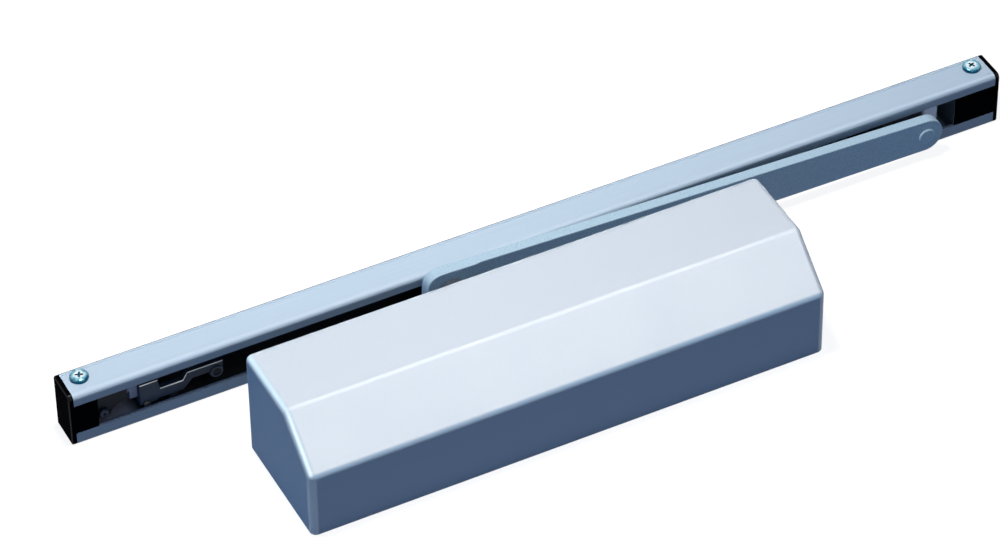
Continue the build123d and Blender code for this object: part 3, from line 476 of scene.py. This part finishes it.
# finishes of single faces
coverSide = makeCoverPaint("coverSide", gloss=0.02)
# painted shade: the rail's front faces in a darker copy of its finish
railFace = makeRailAnodised("railFace", shade=0.66, gloss=0.10)
greasedChannel = makeChannelGreaseAndShade()
# painted shade under the upper lip and along the rail's back and foot edges
slotEdge = makeMetal(
    "slotEdge", color=(0.05, 0.065, 0.09), roughness=0.5, grain=0.6 * mm, metallic=0.0, spread=0.2)
# painted shade on the lower lip's top face inside the slot
lipEdge = makeMetal(
    "lipEdge", color=(0.16, 0.20, 0.27), roughness=0.5, grain=0.6 * mm, metallic=0.0, spread=0.2, gloss=0.1)
# the lever's front edge painted bright: wear and painted highlight
wornEdge = makeMetal("wornEdge", color=(0.46, 0.48, 0.49), roughness=0.32, grain=0.3 * mm)
capEdge = makeMetal(
    "capEdge", color=(0.004, 0.005, 0.007), roughness=0.30, grain=0.3 * mm, metallic=0.0, spread=0.3,
    gloss=0.10)
# painted light: a pale inner end on the black cap block
capEnd = makeMetal(
    "capEnd", color=(0.11, 0.12, 0.12), roughness=0.55, grain=0.6 * mm, metallic=0.0, spread=0.2, gloss=0.1)
# painted shade in the screws' cross recess
screwRecess = makeMetal("screwRecess", color=(0.03, 0.15, 0.23), roughness=0.30, grain=0.4 * mm, spread=0.5)
# finishes of nodes that differ from their slot's own
# painted shade: the spindle and its cap darkened
shaftSteel = makeMetal(
    "shaftSteel", color=(0.10, 0.115, 0.14), roughness=0.42, grain=0.4 * mm, metallic=0.5, stretch=(1, 6, 1))
ownFinish = {
    "pinion_spindle": shaftSteel,
    "upper_cap": shaftSteel,
    "slider": makeSliderLightAndShade(),
    "holdopen_base": makeBasePlateLightAndShade(),
    "holdopen_bracket": makeMetal(
        "bracketBlack", color=(0.015, 0.019, 0.025), roughness=0.5, grain=0.5 * mm, metallic=0.0, spread=0.3,
        gloss=0.1),
    "holdopen_lever": makeLeverShade(),
    "pivot_pin": makeMetal(
        "dullPin", color=(0.07, 0.075, 0.072), roughness=0.45, grain=0.4 * mm, metallic=0.4, spread=0.2),
    "roller_pin": makeRivetRimAndShade(),
    "plunger": makeMetal(
        "plungerSteel", color=(0.23, 0.27, 0.37), roughness=0.42, grain=0.3 * mm, metallic=0.1,
        stretch=(8, 1, 1), gloss=0.2),
}
print("finishes ready:", len(finishes) + len(set(ownFinish.values())), "and those of single faces")


def finishOf(nodeName):
    return ownFinish.get(nodeName, finishes[slotOf[nodeName]])


def dress(piece, finish):
    piece.data.materials.clear()
    piece.data.materials.append(finish)


def addFinish(piece, finish, test):  # a second finish on the faces that the test picks
    piece.data.materials.append(finish)
    startEdit(piece, "FACE")
    piece.active_material_index = len(piece.data.materials) - 1
    pickFaces(piece, test)
    bpy.ops.object.material_slot_assign()
    endEdit()


for nodeName, node in nodes.items():
    dress(node, finishOf(nodeName))


# cover: a block cut to its slope and rounded, with a smaller one taken out of it
cover = dict(
    sideHeight=36.7 * mm, slopeRun=25.4 * mm, wall=2.0 * mm, ridgeRadius=3.6 * mm, edgeRadius=4.0 * mm,
    endRadius=3.4 * mm, rim=0.6 * mm, notchGap=0.3 * mm, flat=0.999)


def alongX(y, z):  # picks the edges that run along the cover at this place
    return lambda a, b: all(abs(end.y - y) < touch and abs(end.z - z) < touch for end in (a, b))


def houseShape(name, inset, past):  # the cover's outside, or its inside at the wall's inset
    low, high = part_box("cover")
    slope = math.atan2(high.z - cover["sideHeight"], cover["slopeRun"])
    near, far = low + Vector((inset, inset, -past)), high - Vector((inset, inset, inset))
    crease = Vector((0, near.y, cover["sideHeight"] - inset * math.tan(math.pi / 4 - slope / 2)))
    ridge = Vector((0, near.y + (far.z - crease.z) / math.tan(slope), far.z))
    house = addBlock(name, near, far)
    startEdit(house, "FACE")
    bpy.ops.mesh.select_all(action="SELECT")
    bpy.ops.mesh.bisect(
        plane_co=crease, plane_no=(0, -math.sin(slope), math.cos(slope)), use_fill=True, clear_outer=True)
    endEdit()

    def roundsEnd(a, b):
        onEnd = any(abs(a.x - x) < touch and abs(b.x - x) < touch for x in (near.x, far.x))
        return onEnd and max(a.z, b.z) > near.z + touch

    edgeRadius = cover["edgeRadius"] - inset
    creaseTurn = math.pi / 2 - slope
    ridgeOffset = cover["ridgeRadius"] * math.tan(slope / 2)
    creaseOffset = edgeRadius * math.tan(creaseTurn / 2)
    roundEdges(house, ridgeOffset, steps=6, test=alongX(ridge.y, ridge.z))
    roundEdges(house, creaseOffset, steps=8, test=alongX(crease.y, crease.z))
    roundEdges(house, edgeRadius, steps=10, test=alongX(far.y, far.z))
    roundEdges(house, cover["endRadius"] - inset, steps=10, test=roundsEnd)
    return house


def makeCover():
    wall = cover["wall"]
    shell = houseShape("coverShell", inset=0.0, past=0.0)
    cutWith(shell, houseShape("coverCore", inset=wall, past=wall))
    capLow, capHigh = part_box("upper_cap")
    spindle = (capLow + capHigh) / 2
    notchRadius = (capHigh.x - capLow.x) / 2 + cover["notchGap"]
    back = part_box("cover")[1].y
    inside, outside = back - 3 * wall, back + wall
    cutWith(shell, addRod(
        "notchRound", (spindle.x, inside, spindle.z), (spindle.x, outside, spindle.z), notchRadius))
    cutWith(shell, addBlock(
        "notchFoot", (spindle.x - notchRadius, inside, -wall),
        (spindle.x + notchRadius, outside, spindle.z)))
    softenEdges(shell, cover["rim"], steps=2, sharp=50)
    smoothFaces(shell, angle=30)
    dress(shell, finishes["cover_paint"])
    addFinish(shell, coverSide, lambda middle, normal: max(abs(normal.x), abs(normal.y)) > cover["flat"])
    finishPiece(shell, "closer", "cover_paint", "cover")


makeCover()
print("cover modelled")


# the rail's section, shared by the bar and its end caps: round at the top of the slot's side
section = dict(
    wall=2.0 * mm, lip=6.5 * mm, frontRadius=3.0 * mm, smallRadius=0.8 * mm, holeRadius=2.75 * mm,
    holeSides=32)
past = 5 * mm  # how far a cutter stands out of what it cuts


def roundProfile(bar):
    low, high = (Vector(corner) for corner in (bar.bound_box[0], bar.bound_box[6]))

    def isFrontTop(a, b):
        return max(a.y, b.y) < low.y + touch and min(a.z, b.z) > high.z - touch

    def isSmallEdge(a, b):  # both back edges and the lower front one
        lengthwise = abs(a.x - b.x) > mm and abs(a.y - b.y) < touch and abs(a.z - b.z) < touch
        return lengthwise and (a.y > high.y - touch or (a.y < low.y + touch and a.z < low.z + touch))

    roundEdges(bar, section["frontRadius"], steps=10, test=isFrontTop)
    roundEdges(bar, section["smallRadius"], steps=4, test=isSmallEdge)


def screwPlaces():  # the left screw and the right one
    low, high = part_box("rail_screws")
    headRadius = (high.y - low.y) / 2
    middleY = (low.y + high.y) / 2
    return (low.x + headRadius, middleY), (high.x - headRadius, middleY)


def cutScrewHole(piece, name, place):
    low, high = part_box("rail")
    start, end = (*place, low.z - past), (*place, high.z + past)
    cutWith(piece, addRod(name, start, end, section["holeRadius"], section["holeSides"]))


# rail: a rounded bar hollowed by its channel and slot, dark inside with grease and painted shade, with
# painted shade on its front faces, lips and edges
def makeRail():
    low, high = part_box("rail")
    rail = dict(
        edge=0.2 * mm, grooveInset=2.2 * mm, grooveWidth=0.7 * mm, grooveDepth=0.35 * mm, margin=0.3 * mm,
        facing=0.97, slotLean=0.3, backLean=0.1, footLean=(0.1, 0.2))
    wall, lip, margin = section["wall"], section["lip"], rail["margin"]
    startX, endX = low.x - past, high.x + past
    bar = addBlock("railChannel", low, high)
    roundProfile(bar)
    cutWith(bar, addBlock(
        "channelCut", (startX, low.y + wall, low.z + wall), (endX, high.y - wall, high.z - wall)))
    cutWith(bar, addBlock(
        "slotCut", (startX, low.y - past, low.z + lip), (endX, low.y + 2 * wall, high.z - lip)))
    grooveY, halfGroove = high.y - rail["grooveInset"], rail["grooveWidth"] / 2
    cutWith(bar, addBlock(
        "grooveCut", (startX, grooveY - halfGroove, high.z - rail["grooveDepth"]),
        (endX, grooveY + halfGroove, high.z + past)))
    for place in screwPlaces():
        cutScrewHole(bar, "screwHoleCut", place)
    softenEdges(bar, rail["edge"], steps=2, sharp=50)
    smoothFaces(bar, angle=30)

    def isInside(middle, normal):
        acrossY = low.y + wall - touch < middle.y < high.y - wall / 2
        return acrossY and low.z + wall / 2 < middle.z < high.z - wall / 2

    def isSlotSide(middle):
        return middle.y < low.y + wall and low.z + lip - margin < middle.z < high.z - lip + margin

    def isLipEdge(middle, normal):
        return isSlotSide(middle) and normal.z > rail["slotLean"]

    def isSlotEdge(middle, normal):
        return isSlotSide(middle) and normal.z < -rail["slotLean"]

    def isFront(middle, normal):
        return normal.y < -rail["facing"] and middle.y < low.y + wall / 2

    def isBackEdge(middle, normal):
        return min(normal.y, normal.z) > rail["backLean"] and middle.y > high.y - mm

    def isFootEdge(middle, normal):
        leanY, leanZ = rail["footLean"]
        return normal.y < -leanY and normal.z < -leanZ and middle.z < low.z + mm

    dress(bar, finishes["rail_anodised"])
    # the channel's inside: grease and painted shade
    addFinish(bar, greasedChannel, isInside)
    # painted shade on the lower lip's top face
    addFinish(bar, lipEdge, isLipEdge)
    # painted shade under the upper lip
    addFinish(bar, slotEdge, isSlotEdge)
    # painted shade on the front faces
    addFinish(bar, railFace, isFront)
    # painted shade along the back edge
    addFinish(bar, slotEdge, isBackEdge)
    # painted shade along the foot edge
    addFinish(bar, slotEdge, isFootEdge)
    finishPiece(bar, "rail", "rail_anodised", "rail")


makeRail()
print("rail modelled")


# end caps: a rounded flange, and a stepped block that fills the rail's end
def makeEndCap(side, screwPlace):
    name = side + "_end_cap"
    low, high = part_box(name)
    cap = dict(
        flange=2.6 * mm, gap=0.1 * mm, faceEdge=1.0 * mm, blockEdge=0.35 * mm, facing=0.9, flat=0.97)
    flangeLow, flangeHigh = low.copy(), high.copy()
    if side == "left":
        flangeHigh.x = low.x + cap["flange"]
        outward, face, joint, inner = -1, low.x, flangeHigh.x, high.x
    else:
        flangeLow.x = high.x - cap["flange"]
        outward, face, joint, inner = 1, high.x, flangeLow.x, low.x
    flange = addBlock(side + "EndCap", flangeLow, flangeHigh)
    roundProfile(flange)

    def isFaceEdge(a, b):
        return max(abs(a.x - face), abs(b.x - face)) < touch

    roundEdges(flange, cap["faceEdge"], steps=4, test=isFaceEdge)
    overlap = joint + outward * cap["flange"] / 2
    startX, endX = min(inner, overlap), max(inner, overlap)
    wall, lip, gap = section["wall"], section["lip"], cap["gap"]
    block = addBlock(
        "capBlock", (startX, low.y + wall + gap, low.z + wall + gap),
        (endX, high.y - wall - gap, high.z - wall - gap))
    guide = addBlock(
        "capGuide", (startX, low.y + gap, low.z + lip + gap),
        (endX, low.y + wall + 3 * gap, high.z - lip - gap))
    cutWith(block, guide, "UNION")
    softenEdges(block, cap["blockEdge"], steps=2, sharp=50)
    cutWith(flange, block, "UNION")
    cutScrewHole(flange, "capHoleCut", screwPlace)
    smoothFaces(flange, angle=32)

    def isFlangeEdge(middle, normal):
        return max(abs(part) for part in normal) < cap["flat"] and outward * (middle.x - joint) > 0

    def isInnerEnd(middle, normal):
        return outward * normal.x < -cap["facing"] and abs(middle.x - inner) < touch

    dress(flange, finishes["black_plastic"])
    addFinish(flange, capEdge, isFlangeEdge)
    # painted light on the block's inner end
    addFinish(flange, capEnd, isInnerEnd)
    finishPiece(flange, "rail", "black_plastic", name)


for side, screwPlace in zip(("left", "right"), screwPlaces()):
    makeEndCap(side, screwPlace)
print("end caps modelled")


# rail screws: pan heads with a tapered cross recess
def makeRailScrews():
    low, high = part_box("rail_screws")
    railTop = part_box("rail")[1].z
    screw = dict(
        shankRadius=2.4 * mm, shankSides=32, shankOverlap=0.4 * mm, crown=1.2 * mm, edge=0.12 * mm,
        recessLong=2.7 * mm, recessWide=0.66 * mm, recessDepth=1.5 * mm, recessRim=0.15 * mm,
        footLong=0.35, footWide=0.56, facing=0.9, turns=(24, 63))
    long, wide, deep = screw["recessLong"], screw["recessWide"], screw["recessDepth"]
    headRadius = (high.y - low.y) / 2
    for number, (x, y) in enumerate(screwPlaces()):
        top = Vector((x, y, high.z))
        head = addRod("railScrew" + str(number + 1), (x, y, railTop), top, headRadius)
        roundEdges(head, screw["crown"], steps=8, test=lambda a, b: min(a.z, b.z) > high.z - touch)
        for quarter in (0, 90):
            wing = addBlock(
                "crossCut", (x - long, y - wide, high.z - deep), (x + long, y + wide, high.z + mm))
            startEdit(wing, "FACE")
            pickFaces(wing, lambda middle, normal: normal.z < -screw["facing"])
            bpy.ops.transform.resize(value=(screw["footLong"], screw["footWide"], 1), center_override=top)
            bpy.ops.mesh.select_all(action="SELECT")
            turn = math.radians(screw["turns"][number] + quarter)
            bpy.ops.transform.rotate(value=turn, orient_axis="Z", center_override=top)
            endEdit()
            cutWith(head, wing)
        shank = addRod(
            "screwShank", (x, y, low.z), (x, y, railTop + screw["shankOverlap"]), screw["shankRadius"],
            screw["shankSides"])
        cutWith(head, shank, "UNION")
        softenEdges(head, screw["edge"], steps=2, sharp=35)
        smoothFaces(head, angle=34)

        def isRecess(middle, normal):
            sunk = railTop < middle.z < high.z - screw["recessRim"]
            return sunk and math.hypot(middle.x - x, middle.y - y) < long

        # the screw head's dark rim is a painted reflection
        dress(head, makeScrewPlateWithPaintedRim(head.name + "Zinc", top, headRadius))
        # painted shade in the cross recess
        addFinish(head, screwRecess, isRecess)
        finishPiece(head, "rail", "zinc_steel", "rail_screws")


makeRailScrews()
print("rail screws modelled")


# arm: a hub with a squared end, drawn out to its round tip, with the bar set back from the hub
def squaredOff(offset, along, radius, power):  # the way of a point from a round outline to a squarer one
    move = Vector((0, 0, 0))
    for way in (along, Vector((-along.z, 0, along.x))):
        reach = offset.dot(way)
        move += way * (math.copysign(radius * (abs(reach) / radius) ** (2 / power), reach) - reach)
    return move


def makeArm():
    low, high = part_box("arm")
    pinLow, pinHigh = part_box("arm_pin")
    capLow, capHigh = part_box("upper_cap")
    pin, spindle = (pinLow + pinHigh) / 2, (capLow + capHigh) / 2
    arm = dict(
        tipRadius=9.3 * mm, hubExtra=0.6 * mm, ramp=3.0 * mm, edge=0.5 * mm, square=11.1 * mm,
        screwRadius=7.6 * mm, screwSink=1.8 * mm, pinRadius=3.65 * mm, sides=128, endPower=3.6)
    hubRadius = spindle.x - low.x
    bar = addRod(
        "forgedArm", (spindle.x, low.y, spindle.z), (spindle.x, high.y, spindle.z), hubRadius, arm["sides"])
    reach = Vector((pin.x - spindle.x, 0, pin.z - spindle.z))
    along = reach.normalized()
    startEdit(bar, "VERT")
    pickCorners(bar, lambda place: (place - spindle).dot(along) > touch / 100)  # the half at the tip
    mesh = bmesh.from_edit_mesh(bar.data)
    for corner in mesh.verts:  # the half at the hub
        if not corner.select:
            corner.co += squaredOff(corner.co - spindle, along, hubRadius, arm["endPower"])
    bmesh.update_edit_mesh(bar.data)
    shrink = arm["tipRadius"] / hubRadius
    bpy.ops.transform.resize(value=(shrink, 1, shrink), center_override=spindle)
    bpy.ops.transform.translate(value=reach)
    rampStart = spindle.x + hubRadius
    rampEnd = rampStart + arm["ramp"]
    for x in (rampStart, rampEnd):
        bpy.ops.mesh.select_all(action="SELECT")
        bpy.ops.mesh.bisect(plane_co=(x, 0, 0), plane_no=(1, 0, 0))
    pickCorners(bar, lambda place: place.y < low.y + touch and place.x > rampEnd - touch)  # set back
    bpy.ops.transform.translate(value=(0, arm["hubExtra"], 0))
    endEdit()
    softenEdges(bar, arm["edge"], steps=3, sharp=40)
    half = arm["square"] / 2
    front, back = low.y - mm, high.y + mm
    hole = addBlock(
        "squareCut", (spindle.x - half, front, spindle.z - half), (spindle.x + half, back, spindle.z + half))
    startEdit(hole, "FACE")
    bpy.ops.mesh.select_all(action="SELECT")
    turn = -math.atan2(reach.z, reach.x)
    bpy.ops.transform.rotate(value=turn, orient_axis="Y", center_override=spindle)
    endEdit()
    cutWith(bar, hole)
    seat = high.y - arm["screwSink"]
    cutWith(bar, addRod(
        "screwSeatCut", (spindle.x, seat, spindle.z), (spindle.x, back, spindle.z), arm["screwRadius"]))
    cutWith(bar, addRod("pinHoleCut", (pin.x, front, pin.z), (pin.x, back, pin.z), arm["pinRadius"]))
    smoothFaces(bar, angle=32)
    dress(bar, finishes["arm_silver"])
    finishPiece(bar, "arm", "arm_silver", "arm")


makeArm()
print("arm modelled")


# plunger: a rod with a square nose, which the lever's block leans on
def makePlunger():
    low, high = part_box("plunger")
    plunger = dict(nose=4.4 * mm, drop=5.9 * mm, rise=1.8 * mm, edge=0.4 * mm, sides=48)
    middle = (low + high) / 2
    rod = addRod(
        "sprungPlunger", (low.x, middle.y, middle.z), (high.x - plunger["nose"] / 2, middle.y, middle.z),
        (high.z - low.z) / 2, plunger["sides"])
    nose = addBlock(
        "noseBlock", (high.x - plunger["nose"], low.y, middle.z - plunger["drop"]),
        (high.x, high.y, middle.z + plunger["rise"]))
    softenEdges(nose, plunger["edge"], steps=3, sharp=40)
    cutWith(rod, nose, "UNION")
    smoothFaces(rod, angle=32)
    dress(rod, finishOf("plunger"))
    finishPiece(rod, "plunger", slotOf["plunger"], "plunger")


makePlunger()
print("plunger modelled")


def copyNode(nodeName):  # its triangles merged
    node = nodes[nodeName]
    words = nodeName.split("_")
    piece = node.copy()
    piece.data = node.data.copy()
    piece.parent = None
    piece.matrix_world = Matrix.Identity(4)
    bpy.context.scene.collection.objects.link(piece)
    piece.name = words[0] + "".join(word.title() for word in words[1:])
    startEdit(piece, "VERT")
    bpy.ops.mesh.select_all(action="SELECT")
    bpy.ops.mesh.remove_doubles(threshold=touch / 50)
    endEdit()
    return piece


def bodyOf(nodeName):
    return next(name for name, members in behaviour["bodies"].items() if nodeName in members)


# small rigid pieces: the CAD shape with its edges eased by these widths
easedPieces = {
    "slider": 0.5 * mm, "pin_washer": 0.2 * mm, "arm_pin": 0.2 * mm, "arm_screw": 0.3 * mm,
    "holdopen_lever": 0.36 * mm, "holdopen_bracket": 0.3 * mm, "holdopen_base": 0.2 * mm,
    "clamp_screw": 0.15 * mm, "pivot_pin": 0.2 * mm, "roller_pin": 0.2 * mm, "detent_roller": 0.25 * mm,
    "upper_cap": 0.3 * mm, "pinion_spindle": 0.3 * mm,
}


def easeNode(nodeName, width):
    easing = dict(steps=2, sharp=35, flatAngle=0.6, leaning=0.3)
    isLever = nodeName == "holdopen_lever"  # stamped plate, rounded along its front edge and painted bright there: wear and painted highlight
    piece = copyNode(nodeName)
    startEdit(piece, "VERT")
    bpy.ops.mesh.select_all(action="SELECT")
    bpy.ops.mesh.dissolve_limited(angle_limit=math.radians(easing["flatAngle"]))
    endEdit()
    if isLever:
        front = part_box(nodeName)[0].y + touch / 10
        roundEdges(piece, width, easing["steps"], lambda a, b: max(a.y, b.y) < front)
    else:
        softenEdges(piece, width, easing["steps"], easing["sharp"])
    smoothFaces(piece, angle=30)
    dress(piece, finishOf(nodeName))
    if isLever:
        leaning = easing["leaning"]
        addFinish(piece, wornEdge, lambda middle, normal: normal.y < -leaning and normal.z > leaning)
    finishPiece(piece, bodyOf(nodeName), slotOf[nodeName], nodeName)


for nodeName, width in easedPieces.items():
    easeNode(nodeName, width)
print("small pieces eased:", len(easedPieces))


# springs: smooth wire
def makeSpring(nodeName):
    spring = copyNode(nodeName)
    smoothFaces(spring, angle=50)
    dress(spring, finishOf(nodeName))
    finishPiece(spring, bodyOf(nodeName), slotOf[nodeName], nodeName)
    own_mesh(spring)


makeSpring("closing_spring")
makeSpring("holdopen_spring")


# camera solved on the straight edges of the object
camera = dict(
    place=(-762.95 * mm, -1498.85 * mm, 1598.6 * mm), azimuth=26.38, elevation=42.05, roll=-0.92,
    focalPixels=4946.0, framePixels=1000.0, sensor=36.0, sightEnd=20.0)


def makeCamera():
    turn, lift, roll = (math.radians(camera[key]) for key in ("azimuth", "elevation", "roll"))
    back = Vector((-math.sin(turn) * math.cos(lift), -math.cos(turn) * math.cos(lift), math.sin(lift)))
    right = Vector((0, 0, 1)).cross(back).normalized()
    up = back.cross(right)
    across = right * math.cos(roll) + up * math.sin(roll)
    rise = up * math.cos(roll) - right * math.sin(roll)
    lens = bpy.data.cameras.new("photoCamera")
    lens.sensor_width = camera["sensor"]
    lens.lens = camera["focalPixels"] * camera["sensor"] / camera["framePixels"]
    lens.clip_end = camera["sightEnd"]
    eye = bpy.data.objects.new("photoCamera", lens)
    axes = Matrix((across, rise, back)).transposed().to_4x4()
    eye.matrix_world = Matrix.Translation(camera["place"]) @ axes
    bpy.context.scene.collection.objects.link(eye)
    bpy.context.scene.camera = eye


makeCamera()
print("camera set")


# studio: white floor to the eye and to gloss, quiet and bluish for bounced light
studio = dict(
    keyPlace=(-0.09, 0.07, 0.88), keySize=0.18, keyLevel=2.78, keyColor=(1.0, 0.99, 0.975),
    worldColor=(0.115, 0.15, 0.23), leftColor=(0.0, 0.13, 0.37), leftReach=(-0.8, 0.0),
    bounceColor=(0.145, 0.19, 0.27), seenColor=(0.24, 0.24, 0.24), glow=0.90,
    floorSize=12.0, floorDrop=0.3 * mm, sheenFar=1.6)
# soft lamps that only show in the gloss of one piece: where they stand, how large, how bright, their tint
sheenLamps = {
    "slopeSheen": dict(
        on="coverShell", towards=(0.33, -0.56, 0.76), size=(1.3, 0.9), radiance=10.0, color=(1, 0.98, 0.93)),
    "ridgeSheen": dict(
        on="coverShell", towards=(0.33, 0.05, 0.94), size=(1.6, 0.52), radiance=17.0, color=(1, 0.97, 0.92)),
    "endSheen": dict(
        on="coverShell", towards=(-0.78, -0.36, 0.51), size=(1.4, 1.4), radiance=30.0, color=(0.7, 0.9, 1)),
    "backSheen": dict(
        on="coverShell", towards=(-0.60, 0.66, 0.42), size=(1.2, 1.0), radiance=14.0, color=(0.5, 0.85, 1)),
    "creaseSheen": dict(
        on="coverShell", towards=(0.33, -0.93, 0.20), size=(1.8, 0.5), radiance=9.0, color=(0.05, 0.55, 1)),
    "railSheen": dict(
        on="railChannel", towards=(0.33, -0.42, 0.85), size=(2.4, 0.4), radiance=24.0, color=(0.9, 0.97, 1)),
}


def seenRays(tree):  # camera, gloss and glass see the white studio
    path = tree.nodes.new("ShaderNodeLightPath")
    first = tree.nodes.new("ShaderNodeMath")
    second = tree.nodes.new("ShaderNodeMath")
    first.operation = second.operation = "MAXIMUM"
    tree.links.new(path.outputs["Is Camera Ray"], first.inputs[0])
    tree.links.new(path.outputs["Is Glossy Ray"], first.inputs[1])
    tree.links.new(first.outputs[0], second.inputs[0])
    tree.links.new(path.outputs["Is Transmission Ray"], second.inputs[1])
    return second.outputs[0]


def mixSeen(tree, quiet, seen, output):  # quiet light for the object, and what is seen behind it
    mix = tree.nodes.new("ShaderNodeMixShader")
    tree.links.new(seenRays(tree), mix.inputs[0])
    tree.links.new(quiet.outputs[0], mix.inputs[1])
    tree.links.new(seen.outputs[0], mix.inputs[2])
    tree.links.new(mix.outputs[0], output.inputs["Surface"])


def makeFloor():
    deselectAll()
    bpy.ops.mesh.primitive_plane_add(size=studio["floorSize"], location=(0, 0, -studio["floorDrop"]))
    floor = bpy.context.active_object
    floor.name = "studioFloor"
    paper = bpy.data.materials.new("studioPaper")
    paper.use_nodes = True
    tree = paper.node_tree
    tree.nodes.clear()
    quiet = tree.nodes.new("ShaderNodeBsdfDiffuse")
    quiet.inputs["Color"].default_value = (*studio["bounceColor"], 1)
    white = tree.nodes.new("ShaderNodeBsdfDiffuse")
    white.inputs["Color"].default_value = (*studio["seenColor"], 1)
    glow = tree.nodes.new("ShaderNodeEmission")
    glow.inputs["Strength"].default_value = studio["glow"]
    seen = tree.nodes.new("ShaderNodeAddShader")
    tree.links.new(white.outputs[0], seen.inputs[0])
    tree.links.new(glow.outputs[0], seen.inputs[1])
    mixSeen(tree, quiet, seen, tree.nodes.new("ShaderNodeOutputMaterial"))
    floor.data.materials.append(paper)


def makeWorld():
    world = bpy.data.worlds.new("studioWorld")
    world.use_nodes = True
    tree = world.node_tree
    tree.nodes.clear()
    way = tree.nodes.new("ShaderNodeTexCoord")
    parts = tree.nodes.new("ShaderNodeSeparateXYZ")
    spread = tree.nodes.new("ShaderNodeMapRange")
    spread.inputs["From Min"].default_value, spread.inputs["From Max"].default_value = studio["leftReach"]
    sides = tree.nodes.new("ShaderNodeValToRGB")
    sides.color_ramp.elements[0].color = (*studio["leftColor"], 1)
    sides.color_ramp.elements[1].color = (*studio["worldColor"], 1)
    quiet = tree.nodes.new("ShaderNodeBackground")
    tree.links.new(way.outputs["Generated"], parts.inputs[0])
    tree.links.new(parts.outputs["X"], spread.inputs["Value"])
    tree.links.new(spread.outputs["Result"], sides.inputs["Fac"])
    tree.links.new(sides.outputs["Color"], quiet.inputs["Color"])
    white = tree.nodes.new("ShaderNodeBackground")
    white.inputs["Color"].default_value = (1, 1, 1, 1)
    mixSeen(tree, quiet, white, tree.nodes.new("ShaderNodeOutputWorld"))
    bpy.context.scene.world = world


def makeKey():
    deselectAll()
    bpy.ops.object.light_add(type="AREA", location=studio["keyPlace"])
    key = bpy.context.active_object
    key.name = "studioKey"
    key.data.shape = "DISK"
    key.data.size = studio["keySize"]
    drop = studio["keyPlace"][2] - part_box("cover")[1].z
    key.data.energy = studio["keyLevel"] * math.pi * drop ** 2
    key.data.color = studio["keyColor"]


def makeSheenLamp(name, lamp):
    deselectAll()
    towards = Vector(lamp["towards"]).normalized()
    turn = towards.to_track_quat("Z", "Y").to_euler()
    bpy.ops.object.light_add(type="AREA", location=towards * studio["sheenFar"], rotation=turn)
    box = bpy.context.active_object
    box.name = name
    box.data.shape = "RECTANGLE"
    box.data.size, box.data.size_y = lamp["size"]
    box.data.energy = lamp["radiance"] * math.pi * lamp["size"][0] * lamp["size"][1]
    box.data.color = lamp["color"]
    box.visible_diffuse = False
    lit = bpy.data.collections.new(name + "Pieces")
    lit.objects.link(bpy.data.objects[lamp["on"]])
    box.light_linking.receiver_collection = lit


makeFloor()
makeWorld()
makeKey()
for lampName, lamp in sheenLamps.items():
    makeSheenLamp(lampName, lamp)
bpy.context.scene.view_settings.view_transform = "Standard"
print("studio lit")
